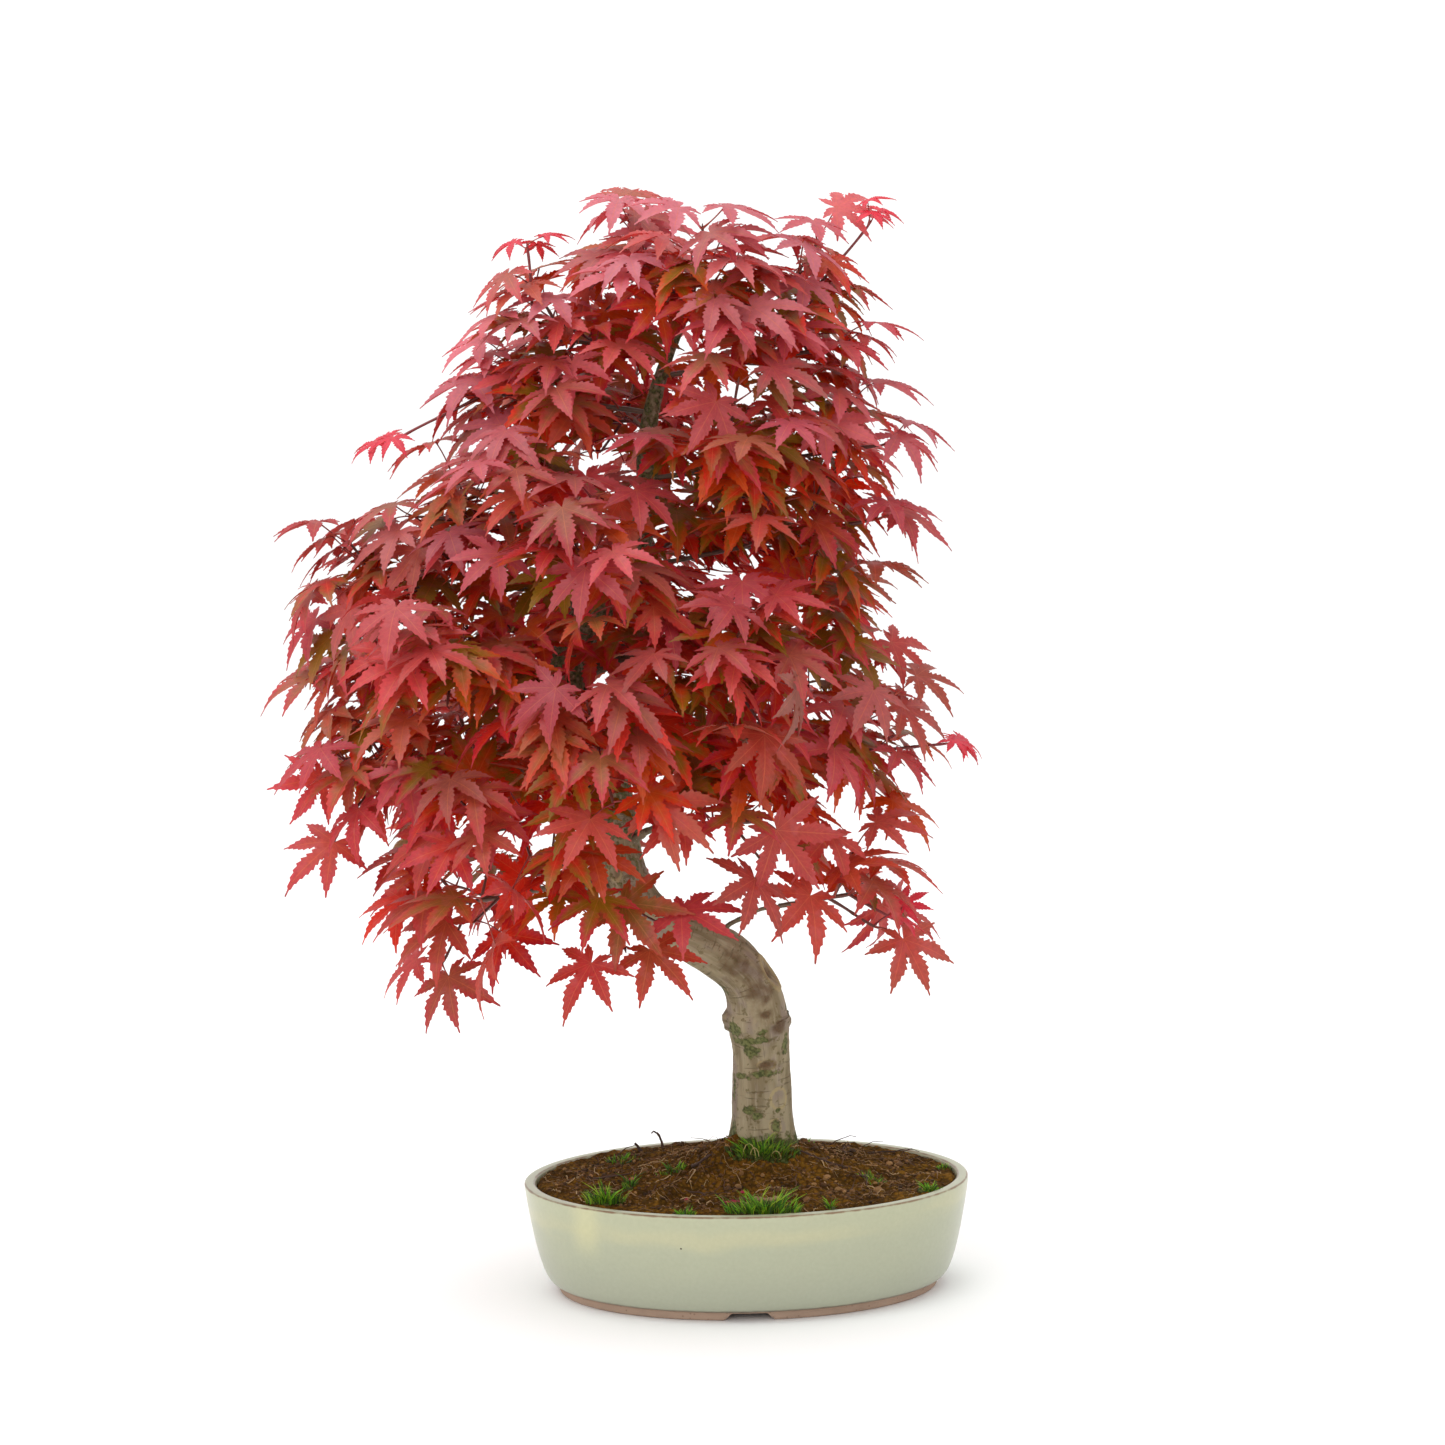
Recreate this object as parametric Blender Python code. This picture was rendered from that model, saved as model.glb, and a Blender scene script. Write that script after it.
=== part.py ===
"""A red-leaved Japanese maple bonsai in an oval celadon pot: pot, soil, drain screens, wood and leaves.

Metres, +Z up, the front faces -Y. The finished tree is moved so that its box stands centred on the origin.
"""

import math
import random

import bmesh
import bpy
from mathutils import Matrix, Vector
from mathutils.bvhtree import BVHTree

MM = 0.001
GAP = 0.3 * MM
UP = Vector((0, 0, 1))

# Oval stoneware pot: half axes of its rim, and its section as (height, inset from the rim's oval) in millimetres
POT_HALF_WIDTH = 125 * MM
POT_HALF_DEPTH = 92.5 * MM
POT_SEGMENTS = 32
POT_SECTION = (
    (5.8, 40), (5.2, 27), (0, 26), (0, 18.7), (4.8, 18.7), (5.4, 15.8), (8, 12.9), (14, 9.9),
    (27, 6.1), (45, 2.6), (60.5, 0.3), (62.4, 0.9), (62.4, 6.2), (60.5, 7.2), (40, 9.6),
    (20, 14), (14.2, 18), (13, 24),
)
FLOOR_Z = 13 * MM
NOTCH_FOOT = 13.5 * MM
NOTCH_TOP = 9.5 * MM
NOTCH_HEIGHT = 4.2 * MM
DRAIN_X = 48 * MM
DRAIN_RADIUS = 7.5 * MM

# Drain screens and the bent wires that hold them
SCREEN_SIDE = 25 * MM
SCREEN_THICK = 0.9 * MM
SCREEN_OPENING = 4.6 * MM
SCREEN_PITCH = 7 * MM
WIRE_RADIUS = 0.6 * MM

# Soil: section under its edge as (height, inset) in millimetres, and the mound around the trunk
SOIL_SECTION = ((13.3, 25), (14.6, 19), (20, 14.4), (40, 10), (58.4, 7.8))
SOIL_RINGS = (0.97, 0.84, 0.68, 0.5, 0.34)
SOIL_LEVEL = 60.3 * MM
MOUND_HEIGHT = 20 * MM
MOUND_CENTRE = (6 * MM, 14 * MM)
MOUND_REACH = (48 * MM, 40 * MM)

# Trunk: x, y, z and radius in millimetres, from inside the soil to the leader's tip
TRUNK_SIDES = 10
TRUNK = (
    (9, 18, 50, 21), (9, 18, 66, 20.4), (10, 18, 76, 18.9), (10, 18, 86, 17.8), (10, 18, 98, 17),
    (10, 17, 114, 16.5), (10, 16, 132, 16.2), (9, 14, 145, 16.8), (8, 13, 151, 17.8), (8, 12, 157, 16.6),
    (6, 10, 168, 16), (0, 8, 179, 15.6), (-11, 5, 188, 15), (-26, 1, 197, 13.4), (-41, -2, 205, 12.5),
    (-54, -4, 217, 12), (-62, -4, 233, 11.7), (-66, -3, 250, 11.4), (-68, -2, 269, 11.1), (-71, -1, 288, 11),
    (-79, -1, 308, 11.2), (-88, -2, 327, 11.3), (-93, -3, 345, 11.3), (-90, -3, 362, 11), (-79, -2, 380, 10),
    (-66, 0, 395, 8.6), (-55, 1, 411, 7.5), (-49, 2, 429, 6.7), (-46, 3, 448, 6.1), (-46, 4, 467, 5.4),
    (-44, 4, 486, 4.6), (-39, 3, 505, 3.8), (-32, 2, 524, 3), (-24, 1, 541, 2.3), (-17, 0, 562, 1.6),
)
ROOT_TURNS = (-2.2, -0.4, 1.2, 2.7)
ROOT_SWELL = 0.2
ROOT_TOP = 92 * MM

# Limbs: name, height on the trunk, tip of the leafy shoot, share of bare wood and the wood's radius, in millimetres
LIMBS = (
    ("low_right", 193, (62, -18, 224), 0.5, 1.6),
    ("low_front", 206, (-72, -82, 230), 0.5, 2.2),
    ("low_left", 221, (-168, -25, 222), 0.5, 3),
    ("low_back", 228, (-116, 82, 228), 0.5, 2.6),
    ("right_front_low", 248, (10, -64, 272), 0.46, 2.6),
    ("left_front_low", 262, (-146, -88, 270), 0.45, 3),
    ("left_low", 276, (-219, -16, 305), 0.48, 3.4),
    ("right_low", 290, (80, -6, 302), 0.5, 3.4),
    ("left_back_low", 300, (-172, 84, 290), 0.45, 3),
    ("right_back_low", 308, (20, 84, 296), 0.45, 2.8),
    ("front_mid", 318, (-72, -114, 318), 0.45, 3),
    ("left_mid", 334, (-218, 16, 346), 0.42, 3.4),
    ("right_mid", 344, (66, 16, 356), 0.5, 3.2),
    ("right_front_mid", 353, (10, -90, 357), 0.48, 2.8),
    ("left_front_mid", 360, (-166, -88, 361), 0.4, 2.8),
    ("back_mid", 371, (-74, 110, 368), 0.45, 2.8),
    ("left_high", 382, (-219, 4, 397), 0.45, 3),
    ("front_high", 398, (-76, -100, 412), 0, 2),
    ("right_high", 404, (80, -12, 430), 0, 2),
    ("back_high", 414, (0, 84, 424), 0, 2),
    ("left_upper", 426, (-178, 12, 436), 0, 2),
    ("front_left_upper", 441, (-119, -67, 459), 0, 1.8),
    ("right_upper", 454, (86, 4, 470), 0, 1.8),
    ("front_right_upper", 468, (16, -70, 476), 0, 1.6),
    ("back_upper", 478, (-62, 74, 494), 0, 1.6),
    ("left_top", 490, (-134, -4, 504), 0, 1.6),
    ("right_top", 510, (60, -12, 524), 0, 1.5),
    ("left_crown", 522, (-106, -20, 534), 0, 1.5),
    ("front_crown", 536, (-6, -48, 561), 0, 1.4),
    ("right_crown", 546, (46, 10, 550), 0, 1.4),
    ("apex", 562, (-44, -4, 569), 0, 1.3),
)

# Late shoots that stand out past the crown, each with three small leaves: limb and tip in millimetres
SPRIGS = {
    "left_crown": (-108, -12, 584),
    "right_crown": (80, 6, 592),
    "left_top": (-184, -2, 478),
    "right_low": (118, -6, 305),
    "low_right": (86, -22, 209),
}

SHOOT_RADIUS = 0.9 * MM
STALK_RADIUS = 0.55 * MM
WOOD_TAPER = (1.35, 0.85, 0.7, 0.58, 0.5)
WOOD_END = 1.5 * MM
PAIR_ROLL = (0.25, 1.15)
SHOOT_STEP = 3.5 * MM
CROWN_AXIS_X = -60 * MM
FRONT_PULL = -35 * MM
CROWN_FOOT_Z = 170 * MM
CROWN_HEIGHT = 440 * MM
LEAF_SIZE = (32 * MM, 41 * MM)
SPRIG_LEAF = 0.5
LEAF_THICK = 1.2 * MM
LEAF_DROOP = 0.2
LEAF_TRIES = 9
LEAF_BASE = 1.8 * MM
# Five-lobed outline: angle from the midrib in degrees, and reach as a share of the leaf's size
LEAF_OUTLINE = (
    (88, 0.7), (64, 0.37), (42, 0.92), (20, 0.4), (0, 1), (-20, 0.4), (-42, 0.92), (-64, 0.37), (-88, 0.7),
)

# Grass and moss on the soil: name, x, y, half width, half depth, height of the cushion and blades, in millimetres
TUFTS = (
    ("grass_front", 9, -78, 13, 4.5, 4, 9),
    ("grass_left", -73, -48, 7, 5, 4, 7),
    ("moss_trunk", 10, -14, 13, 6, 5, 5),
)

COLOURS = {
    "celadon_glaze": ((0.47, 0.48, 0.34), 0.3),
    "soil": ((0.075, 0.045, 0.018), 0.95),
    "screen_plastic": ((0.05, 0.05, 0.05), 0.6),
    "bright_wire": ((0.6, 0.58, 0.55), 0.35),
    "bark": ((0.24, 0.2, 0.12), 0.85),
    "twig_bark": ((0.16, 0.09, 0.05), 0.75),
    "red_leaf": ((0.36, 0.035, 0.03), 0.55),
    "moss": ((0.1, 0.2, 0.03), 0.9),
}


def clear_scene():
    for old in list(bpy.data.objects):
        bpy.data.objects.remove(old)


def material(slot):
    """The named material, made on first use."""
    if slot in bpy.data.materials:
        return bpy.data.materials[slot]
    mat = bpy.data.materials.new(slot)
    mat.use_nodes = True
    shader = mat.node_tree.nodes["Principled BSDF"]
    colour, roughness = COLOURS[slot]
    shader.inputs["Base Color"].default_value = (*colour, 1)
    shader.inputs["Roughness"].default_value = roughness
    shader.inputs["Metallic"].default_value = 1 if slot == "bright_wire" else 0
    return mat


def add_object(name, bm, slot=None, smooth=False, turned=False):
    """Turn a bmesh into a scene object with outward faces; turned says that they already face out."""
    if not turned:
        bmesh.ops.recalc_face_normals(bm, faces=bm.faces)
    mesh = bpy.data.meshes.new(name)
    bm.to_mesh(mesh)
    bm.free()
    obj = bpy.data.objects.new(name, mesh)
    bpy.context.scene.collection.objects.link(obj)
    if slot:
        mesh.materials.append(material(slot))
    if smooth:
        mesh.shade_smooth()
    return obj


def join_rings(bm, rings, close_start=True, close_end=True):
    """Skin a row of vertex rings, and cap its ends with fans."""
    sides = len(rings[0])
    for low, high in zip(rings, rings[1:]):
        for k in range(sides):
            after = (k + 1) % sides
            bm.faces.new((low[k], low[after], high[after], high[k]))
    for ring, wanted in ((rings[0], close_start), (rings[-1], close_end)):
        if wanted:
            middle = bm.verts.new(sum((v.co for v in ring), Vector()) / sides)
            for k in range(sides):
                bm.faces.new((ring[k], ring[(k + 1) % sides], middle))


def tube(bm, path, radii, sides):
    """A closed round bar along a path, with a frame carried from ring to ring."""
    rings = []
    last = (path[1] - path[0]).normalized()
    side = last.orthogonal().normalized()
    for i, (point, radius) in enumerate(zip(path, radii)):
        ahead = (path[min(i + 1, len(path) - 1)] - path[max(i - 1, 0)]).normalized()
        side.rotate(last.rotation_difference(ahead))
        side = (side - ahead * side.dot(ahead)).normalized()
        last = ahead
        other = ahead.cross(side)
        turns = [math.tau * k / sides for k in range(sides)]
        rings.append([bm.verts.new(point + (side * math.cos(t) + other * math.sin(t)) * radius) for t in turns])
    join_rings(bm, rings)


def apply_boolean(target, operation, tool, self_cutting=False):
    """Combine two solids, keep the result as the target's mesh and drop the tool."""
    modifier = target.modifiers.new("combine", "BOOLEAN")
    modifier.operation = operation
    modifier.solver = "EXACT"
    modifier.use_self = self_cutting
    modifier.object = tool
    graph = bpy.context.evaluated_depsgraph_get()
    result = bpy.data.meshes.new_from_object(target.evaluated_get(graph))
    target.modifiers.clear()
    target.data = result
    bpy.data.objects.remove(tool)


def box_tool(size, centre):
    bm = bmesh.new()
    bmesh.ops.create_cube(bm, size=1)
    bmesh.ops.transform(bm, matrix=Matrix.Translation(centre) @ Matrix.Diagonal((*size, 1)), verts=bm.verts)
    return add_object("tool", bm)


def oval_ring(bm, height, inset, segments):
    ring = []
    for k in range(segments):
        turn = math.tau * k / segments
        x = (POT_HALF_WIDTH - inset) * math.cos(turn)
        y = (POT_HALF_DEPTH - inset) * math.sin(turn)
        ring.append(bm.verts.new((x, y, height)))
    return ring


def make_pot():
    """Oval body turned from its section, with two notches in the foot and two drain holes."""
    bm = bmesh.new()
    rings = [oval_ring(bm, z * MM, inset * MM, POT_SEGMENTS) for z, inset in POT_SECTION]
    join_rings(bm, rings)
    pot = add_object("pot", bm, "celadon_glaze")
    apply_boolean(pot, "DIFFERENCE", foot_notches())
    for x in (-DRAIN_X, DRAIN_X):
        bm = bmesh.new()
        tube(bm, [Vector((x, 0, -MM)), Vector((x, 0, FLOOR_Z + MM))], [DRAIN_RADIUS] * 2, 20)
        apply_boolean(pot, "DIFFERENCE", add_object("tool", bm))
    pot.data.shade_smooth()
    return pot


def foot_notches():
    """One long bar with a sloped-sided section that notches the front and the back of the foot."""
    bm = bmesh.new()
    section = ((-NOTCH_FOOT, -MM), (NOTCH_FOOT, -MM), (NOTCH_FOOT, 0.6 * MM), (NOTCH_TOP, NOTCH_HEIGHT),
               (-NOTCH_TOP, NOTCH_HEIGHT), (-NOTCH_FOOT, 0.6 * MM))
    rings = [[bm.verts.new((x, y, z)) for x, z in section] for y in (-POT_HALF_DEPTH, POT_HALF_DEPTH)]
    join_rings(bm, rings)
    return add_object("tool", bm)


def soil_height(x, y):
    """Top of the soil: level near the rim, mounded up around the trunk."""
    dx = (x - MOUND_CENTRE[0]) / MOUND_REACH[0]
    dy = (y - MOUND_CENTRE[1]) / MOUND_REACH[1]
    ripple = 0.5 * MM * math.sin(x * 190 + 1) * math.cos(y * 230)
    return SOIL_LEVEL + MOUND_HEIGHT * math.exp(-dx * dx - dy * dy) + ripple


def make_soil(trunk_tool):
    """Root ball that fills the pot up to just under its rim."""
    bm = bmesh.new()
    rings = [oval_ring(bm, z * MM, inset * MM, POT_SEGMENTS) for z, inset in SOIL_SECTION]
    edge = [v.co.copy() for v in rings[-1]]
    for share in SOIL_RINGS:
        spots = [(p.x * share, p.y * share) for p in edge]
        rings.append([bm.verts.new((x, y, soil_height(x, y))) for x, y in spots])
    join_rings(bm, rings, close_end=False)
    middle = bm.verts.new((0, 0, soil_height(0, 0)))
    for k in range(POT_SEGMENTS):
        bm.faces.new((rings[-1][k], rings[-1][(k + 1) % POT_SEGMENTS], middle))
    bmesh.ops.triangulate(bm, faces=bm.faces)
    soil = add_object("soil", bm, "soil")
    apply_boolean(soil, "DIFFERENCE", trunk_tool)
    pocket = (SCREEN_SIDE + 2 * GAP, SCREEN_SIDE + 2 * GAP, 2 * (SCREEN_THICK + 2 * WIRE_RADIUS + 3 * GAP))
    for x in (-DRAIN_X, DRAIN_X):
        apply_boolean(soil, "DIFFERENCE", box_tool(pocket, Vector((x, 0, FLOOR_Z))))
    soil.data.shade_smooth()
    return soil


def make_screen(name, x):
    """Square of plastic mesh that lies over one drain hole."""
    centre = Vector((x, 0, FLOOR_Z + GAP + SCREEN_THICK / 2))
    bm = bmesh.new()
    bmesh.ops.create_cube(bm, size=1)
    size = Matrix.Diagonal((SCREEN_SIDE, SCREEN_SIDE, SCREEN_THICK, 1))
    bmesh.ops.transform(bm, matrix=Matrix.Translation(centre) @ size, verts=bm.verts)
    screen = add_object(name, bm, "screen_plastic")
    for column in (-1, 0, 1):
        for row in (-1, 0, 1):
            spot = centre + Vector((column * SCREEN_PITCH, row * SCREEN_PITCH, 0))
            hole = (SCREEN_OPENING, SCREEN_OPENING, 3 * SCREEN_THICK)
            apply_boolean(screen, "DIFFERENCE", box_tool(hole, spot))
    return screen


def make_screen_wire(name, x):
    """Bent wire over the screen, with legs down through the drain hole and hooked out under the floor."""
    top = FLOOR_Z + 2 * GAP + SCREEN_THICK + WIRE_RADIUS
    under = 5.8 * MM - GAP - WIRE_RADIUS
    leg = DRAIN_RADIUS - WIRE_RADIUS - 2 * GAP
    hook = DRAIN_RADIUS + 3.5 * MM
    stations = ((-hook, under), (-leg, under), (-leg, top), (leg, top), (leg, under), (hook, under))
    bm = bmesh.new()
    tube(bm, [Vector((x + dx, 0, z)) for dx, z in stations], [WIRE_RADIUS] * len(stations), 6)
    return add_object(name, bm, "bright_wire", smooth=True)


def root_swell(angle, height):
    """Growth of the trunk's radius over the surface roots near the soil."""
    fade = max(0, 1 - max(0, height - TRUNK[1][2] * MM) / (ROOT_TOP - TRUNK[1][2] * MM))
    near = max(math.cos(angle - root) for root in ROOT_TURNS)
    return 1 + ROOT_SWELL * fade * max(0, near) ** 6


def trunk_solid(name, extra, slot=None):
    """The bent trunk, swollen over its roots and thickened by a given amount all over."""
    path = [Vector(row[:3]) * MM for row in TRUNK]
    path[0] += (path[0] - path[1]).normalized() * extra
    path[-1] += (path[-1] - path[-2]).normalized() * extra
    bm = bmesh.new()
    rings = []
    last = UP.copy()
    side = Vector((1, 0, 0))
    for i, (point, row) in enumerate(zip(path, TRUNK)):
        ahead = (path[min(i + 1, len(path) - 1)] - path[max(i - 1, 0)]).normalized()
        side.rotate(last.rotation_difference(ahead))
        last = ahead
        other = ahead.cross(side)
        ring = []
        for k in range(TRUNK_SIDES):
            turn = math.tau * k / TRUNK_SIDES
            radius = row[3] * MM * root_swell(turn, point.z) + extra
            ring.append(bm.verts.new(point + (side * math.cos(turn) + other * math.sin(turn)) * radius))
        rings.append(ring)
    join_rings(bm, rings)
    bmesh.ops.triangulate(bm, faces=bm.faces)
    return add_object(name, bm, slot, smooth=True)


def trunk_at(height):
    """Centre of the trunk at a height, and its radius there."""
    for low, high in zip(TRUNK, TRUNK[1:]):
        if low[2] <= height <= high[2]:
            share = (height - low[2]) / (high[2] - low[2])
            return Vector(low[:3]).lerp(Vector(high[:3]), share) * MM, (low[3] + (high[3] - low[3]) * share) * MM
    return Vector(TRUNK[-1][:3]) * MM, TRUNK[-1][3] * MM


def limb_line(height, tip, share):
    """Root of a limb on the trunk's axis, start of its leafy shoot, and its tip."""
    root, radius = trunk_at(height)
    tip = Vector(tip) * MM
    if share:
        return root, root.lerp(tip, share) + UP * 8 * MM, tip
    return root, root, tip


def limb_path(root, start, steps):
    """Points of a limb that springs upwards and levels out."""
    points = []
    for i in range(steps + 1):
        share = i / steps
        points.append(root.lerp(start, share) + UP * 5 * MM * math.sin(math.pi * share))
    return points


def shoots_of(name, start, tip, limb_root):
    """Foot and tip of the leader, of its opposite side shoots and of any late shoot."""
    rng = random.Random(name)
    leader = tip - start
    ahead = leader.normalized()
    across = ahead.cross(UP).normalized()
    shoots = [(start, tip, 1)]
    first = 0.3 if limb_root != start else 0.42
    upright = across.cross(ahead)
    for k in range(len(PAIR_ROLL)):
        share = first + (0.86 - first) * k / len(PAIR_ROLL)
        node = start.lerp(tip, share)
        roll = PAIR_ROLL[k] + rng.uniform(-0.3, 0.3)
        for hand in (-1, 1):
            sideways = (across * math.cos(roll) + upright * math.sin(roll)) * hand
            heading = ahead * 0.6 + sideways * rng.uniform(0.7, 0.95)
            length = rng.uniform(30, 44) * MM
            node = node + ahead * SHOOT_STEP
            shoots.append((node, node + heading.normalized() * length, 1))
    if name in SPRIGS:
        shoots.append((tip - ahead * 2 * MM, Vector(SPRIGS[name]) * MM, SPRIG_LEAF))
    return shoots


def leaf_place(name, number, attempt, shoot, turn):
    """One try at a leaf: foot of its stalk, centre and size of its blade, midrib and upward face."""
    rng = random.Random(f"{name}/{number}/{attempt}")
    foot, end, scale = shoot
    heading = (end - foot).normalized()
    across = heading.cross(UP).normalized()
    spread = 0.25 + 0.12 * attempt
    wander = Vector((rng.uniform(-1, 1), rng.uniform(-1, 1), rng.uniform(-1, 1))) * spread
    stalk = heading * (1 - 0.5 * abs(turn)) + across * turn * 0.9 + UP * 0.25 + wander
    length = rng.uniform(14, 26) * MM * scale
    stalk_foot = end - heading * rng.uniform(0.5, 5) * MM
    centre = stalk_foot + stalk.normalized() * length
    height = min(1, max(0, (centre.z - CROWN_FOOT_Z) / CROWN_HEIGHT))
    outward = Vector((centre.x - CROWN_AXIS_X, centre.y + FRONT_PULL, 0)).normalized()
    outward = (outward + Vector((rng.uniform(-0.5, 0.5), rng.uniform(-0.9, 0.1), 0))).normalized()
    lift = rng.uniform(0.5, 1.5) + 0.9 * height
    face = (UP * lift + outward * rng.uniform(0.4, 1.1) + wander * 1.2).normalized()
    midrib = stalk.normalized() * 0.9 + outward * 0.5 - UP * rng.uniform(0.1, 0.7)
    midrib = (midrib - face * midrib.dot(face)).normalized()
    size = rng.uniform(*LEAF_SIZE) * scale * (1 - 0.12 * height)
    return stalk_foot, centre, midrib, face, size


def leaf_turns(index, shoot):
    """Sides of a shoot's end on which leaves stand: three on the leader, a pair elsewhere."""
    return (-1, 1, 0) if index == 0 or shoot[2] < 1 else (-1, 1)


def leaf_points(centre, midrib, face, size, swell=1):
    """Outline of a star-shaped leaf whose lobes hang a little."""
    across = face.cross(midrib)
    points = []
    for angle, reach in LEAF_OUTLINE:
        turn = math.radians(angle)
        flat = (midrib * math.cos(turn) + across * math.sin(turn)) * reach * size * swell
        points.append(centre + flat - face * LEAF_DROOP * size * reach * reach)
    return points


def leaf_polygons(place, thick, swell=1):
    """Vertices and faces of one thin leaf and of its stalk, which runs to a point inside the shoot."""
    foot, centre, midrib, face, size = place
    across = face.cross(midrib)
    points = leaf_points(centre, midrib, face, size, swell)
    count = len(points)
    back = ((foot - centre).normalized() - midrib).normalized()
    base = centre + back * LEAF_BASE
    under = (across.cross(back)).normalized()
    if under.dot(face) > 0:
        under.negate()
    half = STALK_RADIUS + (thick - LEAF_THICK) / 4
    points += [base - across * half, base + across * half, base + under * half * 1.6]
    points += [centre + face * thick / 2, centre - face * thick / 2, foot]
    right, left, low, top, bottom, tip = range(count, count + 6)
    upper = list(range(count)) + [right, left]
    lower = list(range(count)) + [right, low, left]
    faces = [(after, k, top) for k, after in zip(upper, upper[1:] + upper[:1])]
    faces += [(k, after, bottom) for k, after in zip(lower, lower[1:] + lower[:1])]
    faces += [(right, left, tip), (low, right, tip), (left, low, tip)]
    return points, faces


def bar_polygons(start, end, radius):
    """Vertices and faces of a three-sided bar."""
    ahead = (end - start).normalized()
    side = ahead.orthogonal().normalized()
    other = ahead.cross(side)
    points = []
    for base in (start, end):
        for k in range(3):
            turn = math.tau * k / 3
            points.append(base + (side * math.cos(turn) + other * math.sin(turn)) * radius)
    return points, [(0, 1, 4, 3), (1, 2, 5, 4), (2, 0, 3, 5), (0, 2, 1), (3, 4, 5)]


class Crowd:
    """What already stands in the crown, so that no new leaf cuts through it."""

    def __init__(self):
        self.solids = []

    def add(self, points, faces, owner):
        middle = sum(points, Vector()) / len(points)
        reach = max((p - middle).length for p in points)
        self.solids.append((middle, reach, BVHTree.FromPolygons(points, faces), owner))

    def add_object(self, obj):
        points = [v.co.copy() for v in obj.data.vertices]
        faces = [tuple(p.vertices) for p in obj.data.polygons]
        self.add(points, faces, obj.name)

    def hits(self, points, faces, skip=()):
        middle = sum(points, Vector()) / len(points)
        reach = max((p - middle).length for p in points)
        tree = BVHTree.FromPolygons(points, faces)
        for other, other_reach, other_tree, owner in self.solids:
            if owner in skip or (other - middle).length > reach + other_reach:
                continue
            if tree.overlap(other_tree):
                return True
        return False


def add_polygons(bm, points, faces):
    verts = [bm.verts.new(p) for p in points]
    for face in faces:
        bm.faces.new([verts[k] for k in face])


def make_limb_wood(name, limb, cutter):
    """Bare inner part of a limb, hollowed at its root to sit against the trunk."""
    _, height, tip, share, radius = limb
    root, start, tip = limb_line(height, tip, share)
    path = limb_path(root, start, 3)
    path.append(start + (tip - start).normalized() * WOOD_END)
    thickness = [radius * MM * taper for taper in WOOD_TAPER]
    bm = bmesh.new()
    tube(bm, path, thickness, 5)
    wood = add_object(name, bm, "twig_bark", smooth=True)
    apply_boolean(wood, "DIFFERENCE", cutter)
    return wood


def shoot_solids(limb, crowd):
    """Leader and side shoots of one limb as separate bars, the leader first."""
    name, height, tip, share, radius = limb
    root, start, tip = limb_line(height, tip, share)
    ahead = (tip - start).normalized()
    shoots = shoots_of(name, start, tip, root)
    bars = []
    for number, (foot, end, _) in enumerate(shoots):
        thick = SHOOT_RADIUS * (1.35 if number == 0 else 1)
        heading = (end - foot).normalized()
        begin = foot - heading * thick * 0.4
        if number == 0 and share:
            begin = foot + ahead * (WOOD_END + GAP)
        bars.append(bar_polygons(begin, end, thick))
    for points, faces in bars:
        crowd.add(points, faces, name)
    return shoots, bars


def grow_leaves(name, shoots, crowd):
    """Leaves of one limb: for each the first try that touches nothing."""
    grown = []
    number = 0
    for index, shoot in enumerate(shoots):
        for turn in leaf_turns(index, shoot):
            for attempt in range(LEAF_TRIES):
                place = leaf_place(name, number, attempt, shoot, turn)
                clear = (place[0].lerp(place[1], 0.3), *place[1:])
                solid = leaf_polygons(clear, 2.4 * MM, 1.03)
                hangs = (place[1] - place[0]).normalized().dot(place[2]) > 0.1
                if hangs and not crowd.hits(*solid):
                    crowd.add(*solid, name)
                    grown.append(place)
                    break
            number += 1
    return grown


def make_foliage(name, bars, places, cutter):
    """One body of shoots, leaf stalks and leaves."""
    bm = bmesh.new()
    add_polygons(bm, *bars[0])
    foliage = add_object(name, bm, "red_leaf", turned=True)
    bm = bmesh.new()
    for shape in bars[1:]:
        add_polygons(bm, *shape)
    for place in places:
        add_polygons(bm, *leaf_polygons(place, LEAF_THICK))
    apply_boolean(foliage, "UNION", add_object("tool", bm, turned=True), self_cutting=True)
    if cutter:
        apply_boolean(foliage, "DIFFERENCE", cutter)
    return foliage


def make_tuft(row, soil):
    """A moss cushion with a few grass blades, standing on the soil."""
    name, x, y, half_width, half_depth, height, blade = row
    rng = random.Random(name)
    base = Vector((x * MM, y * MM, soil_height(x * MM, y * MM) + 0.5 * MM))
    bm = bmesh.new()
    bmesh.ops.create_icosphere(bm, subdivisions=2, radius=1)
    size = Matrix.Diagonal((half_width * MM, half_depth * MM, height * MM, 1))
    bmesh.ops.transform(bm, matrix=Matrix.Translation(base) @ size, verts=bm.verts)
    tuft = add_object(name, bm, "moss", smooth=True)
    bm = bmesh.new()
    for _ in range(6):
        turn = rng.uniform(0, math.tau)
        out = Vector((math.cos(turn) * half_width, math.sin(turn) * half_depth, 0)) * MM * 0.7 * rng.random()
        foot = base + out + UP * height * MM * 0.35
        lean = Vector((rng.uniform(-0.5, 0.5), rng.uniform(-0.5, 0.5), 1)).normalized()
        corners = [foot + Vector((math.cos(a), math.sin(a), 0)) * 0.8 * MM for a in (0, 2.1, 4.2)]
        points = corners + [foot + lean * blade * MM]
        add_polygons(bm, points, [(0, 2, 1), (0, 1, 3), (1, 2, 3), (2, 0, 3)])
    apply_boolean(tuft, "UNION", add_object("tool", bm), self_cutting=True)
    ground = soil.copy()
    ground.data = soil.data.copy()
    ground.data.transform(Matrix.Translation(UP * GAP))
    bpy.context.scene.collection.objects.link(ground)
    apply_boolean(tuft, "DIFFERENCE", ground)
    apply_boolean(tuft, "DIFFERENCE", trunk_solid("tool", GAP))
    return tuft


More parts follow.
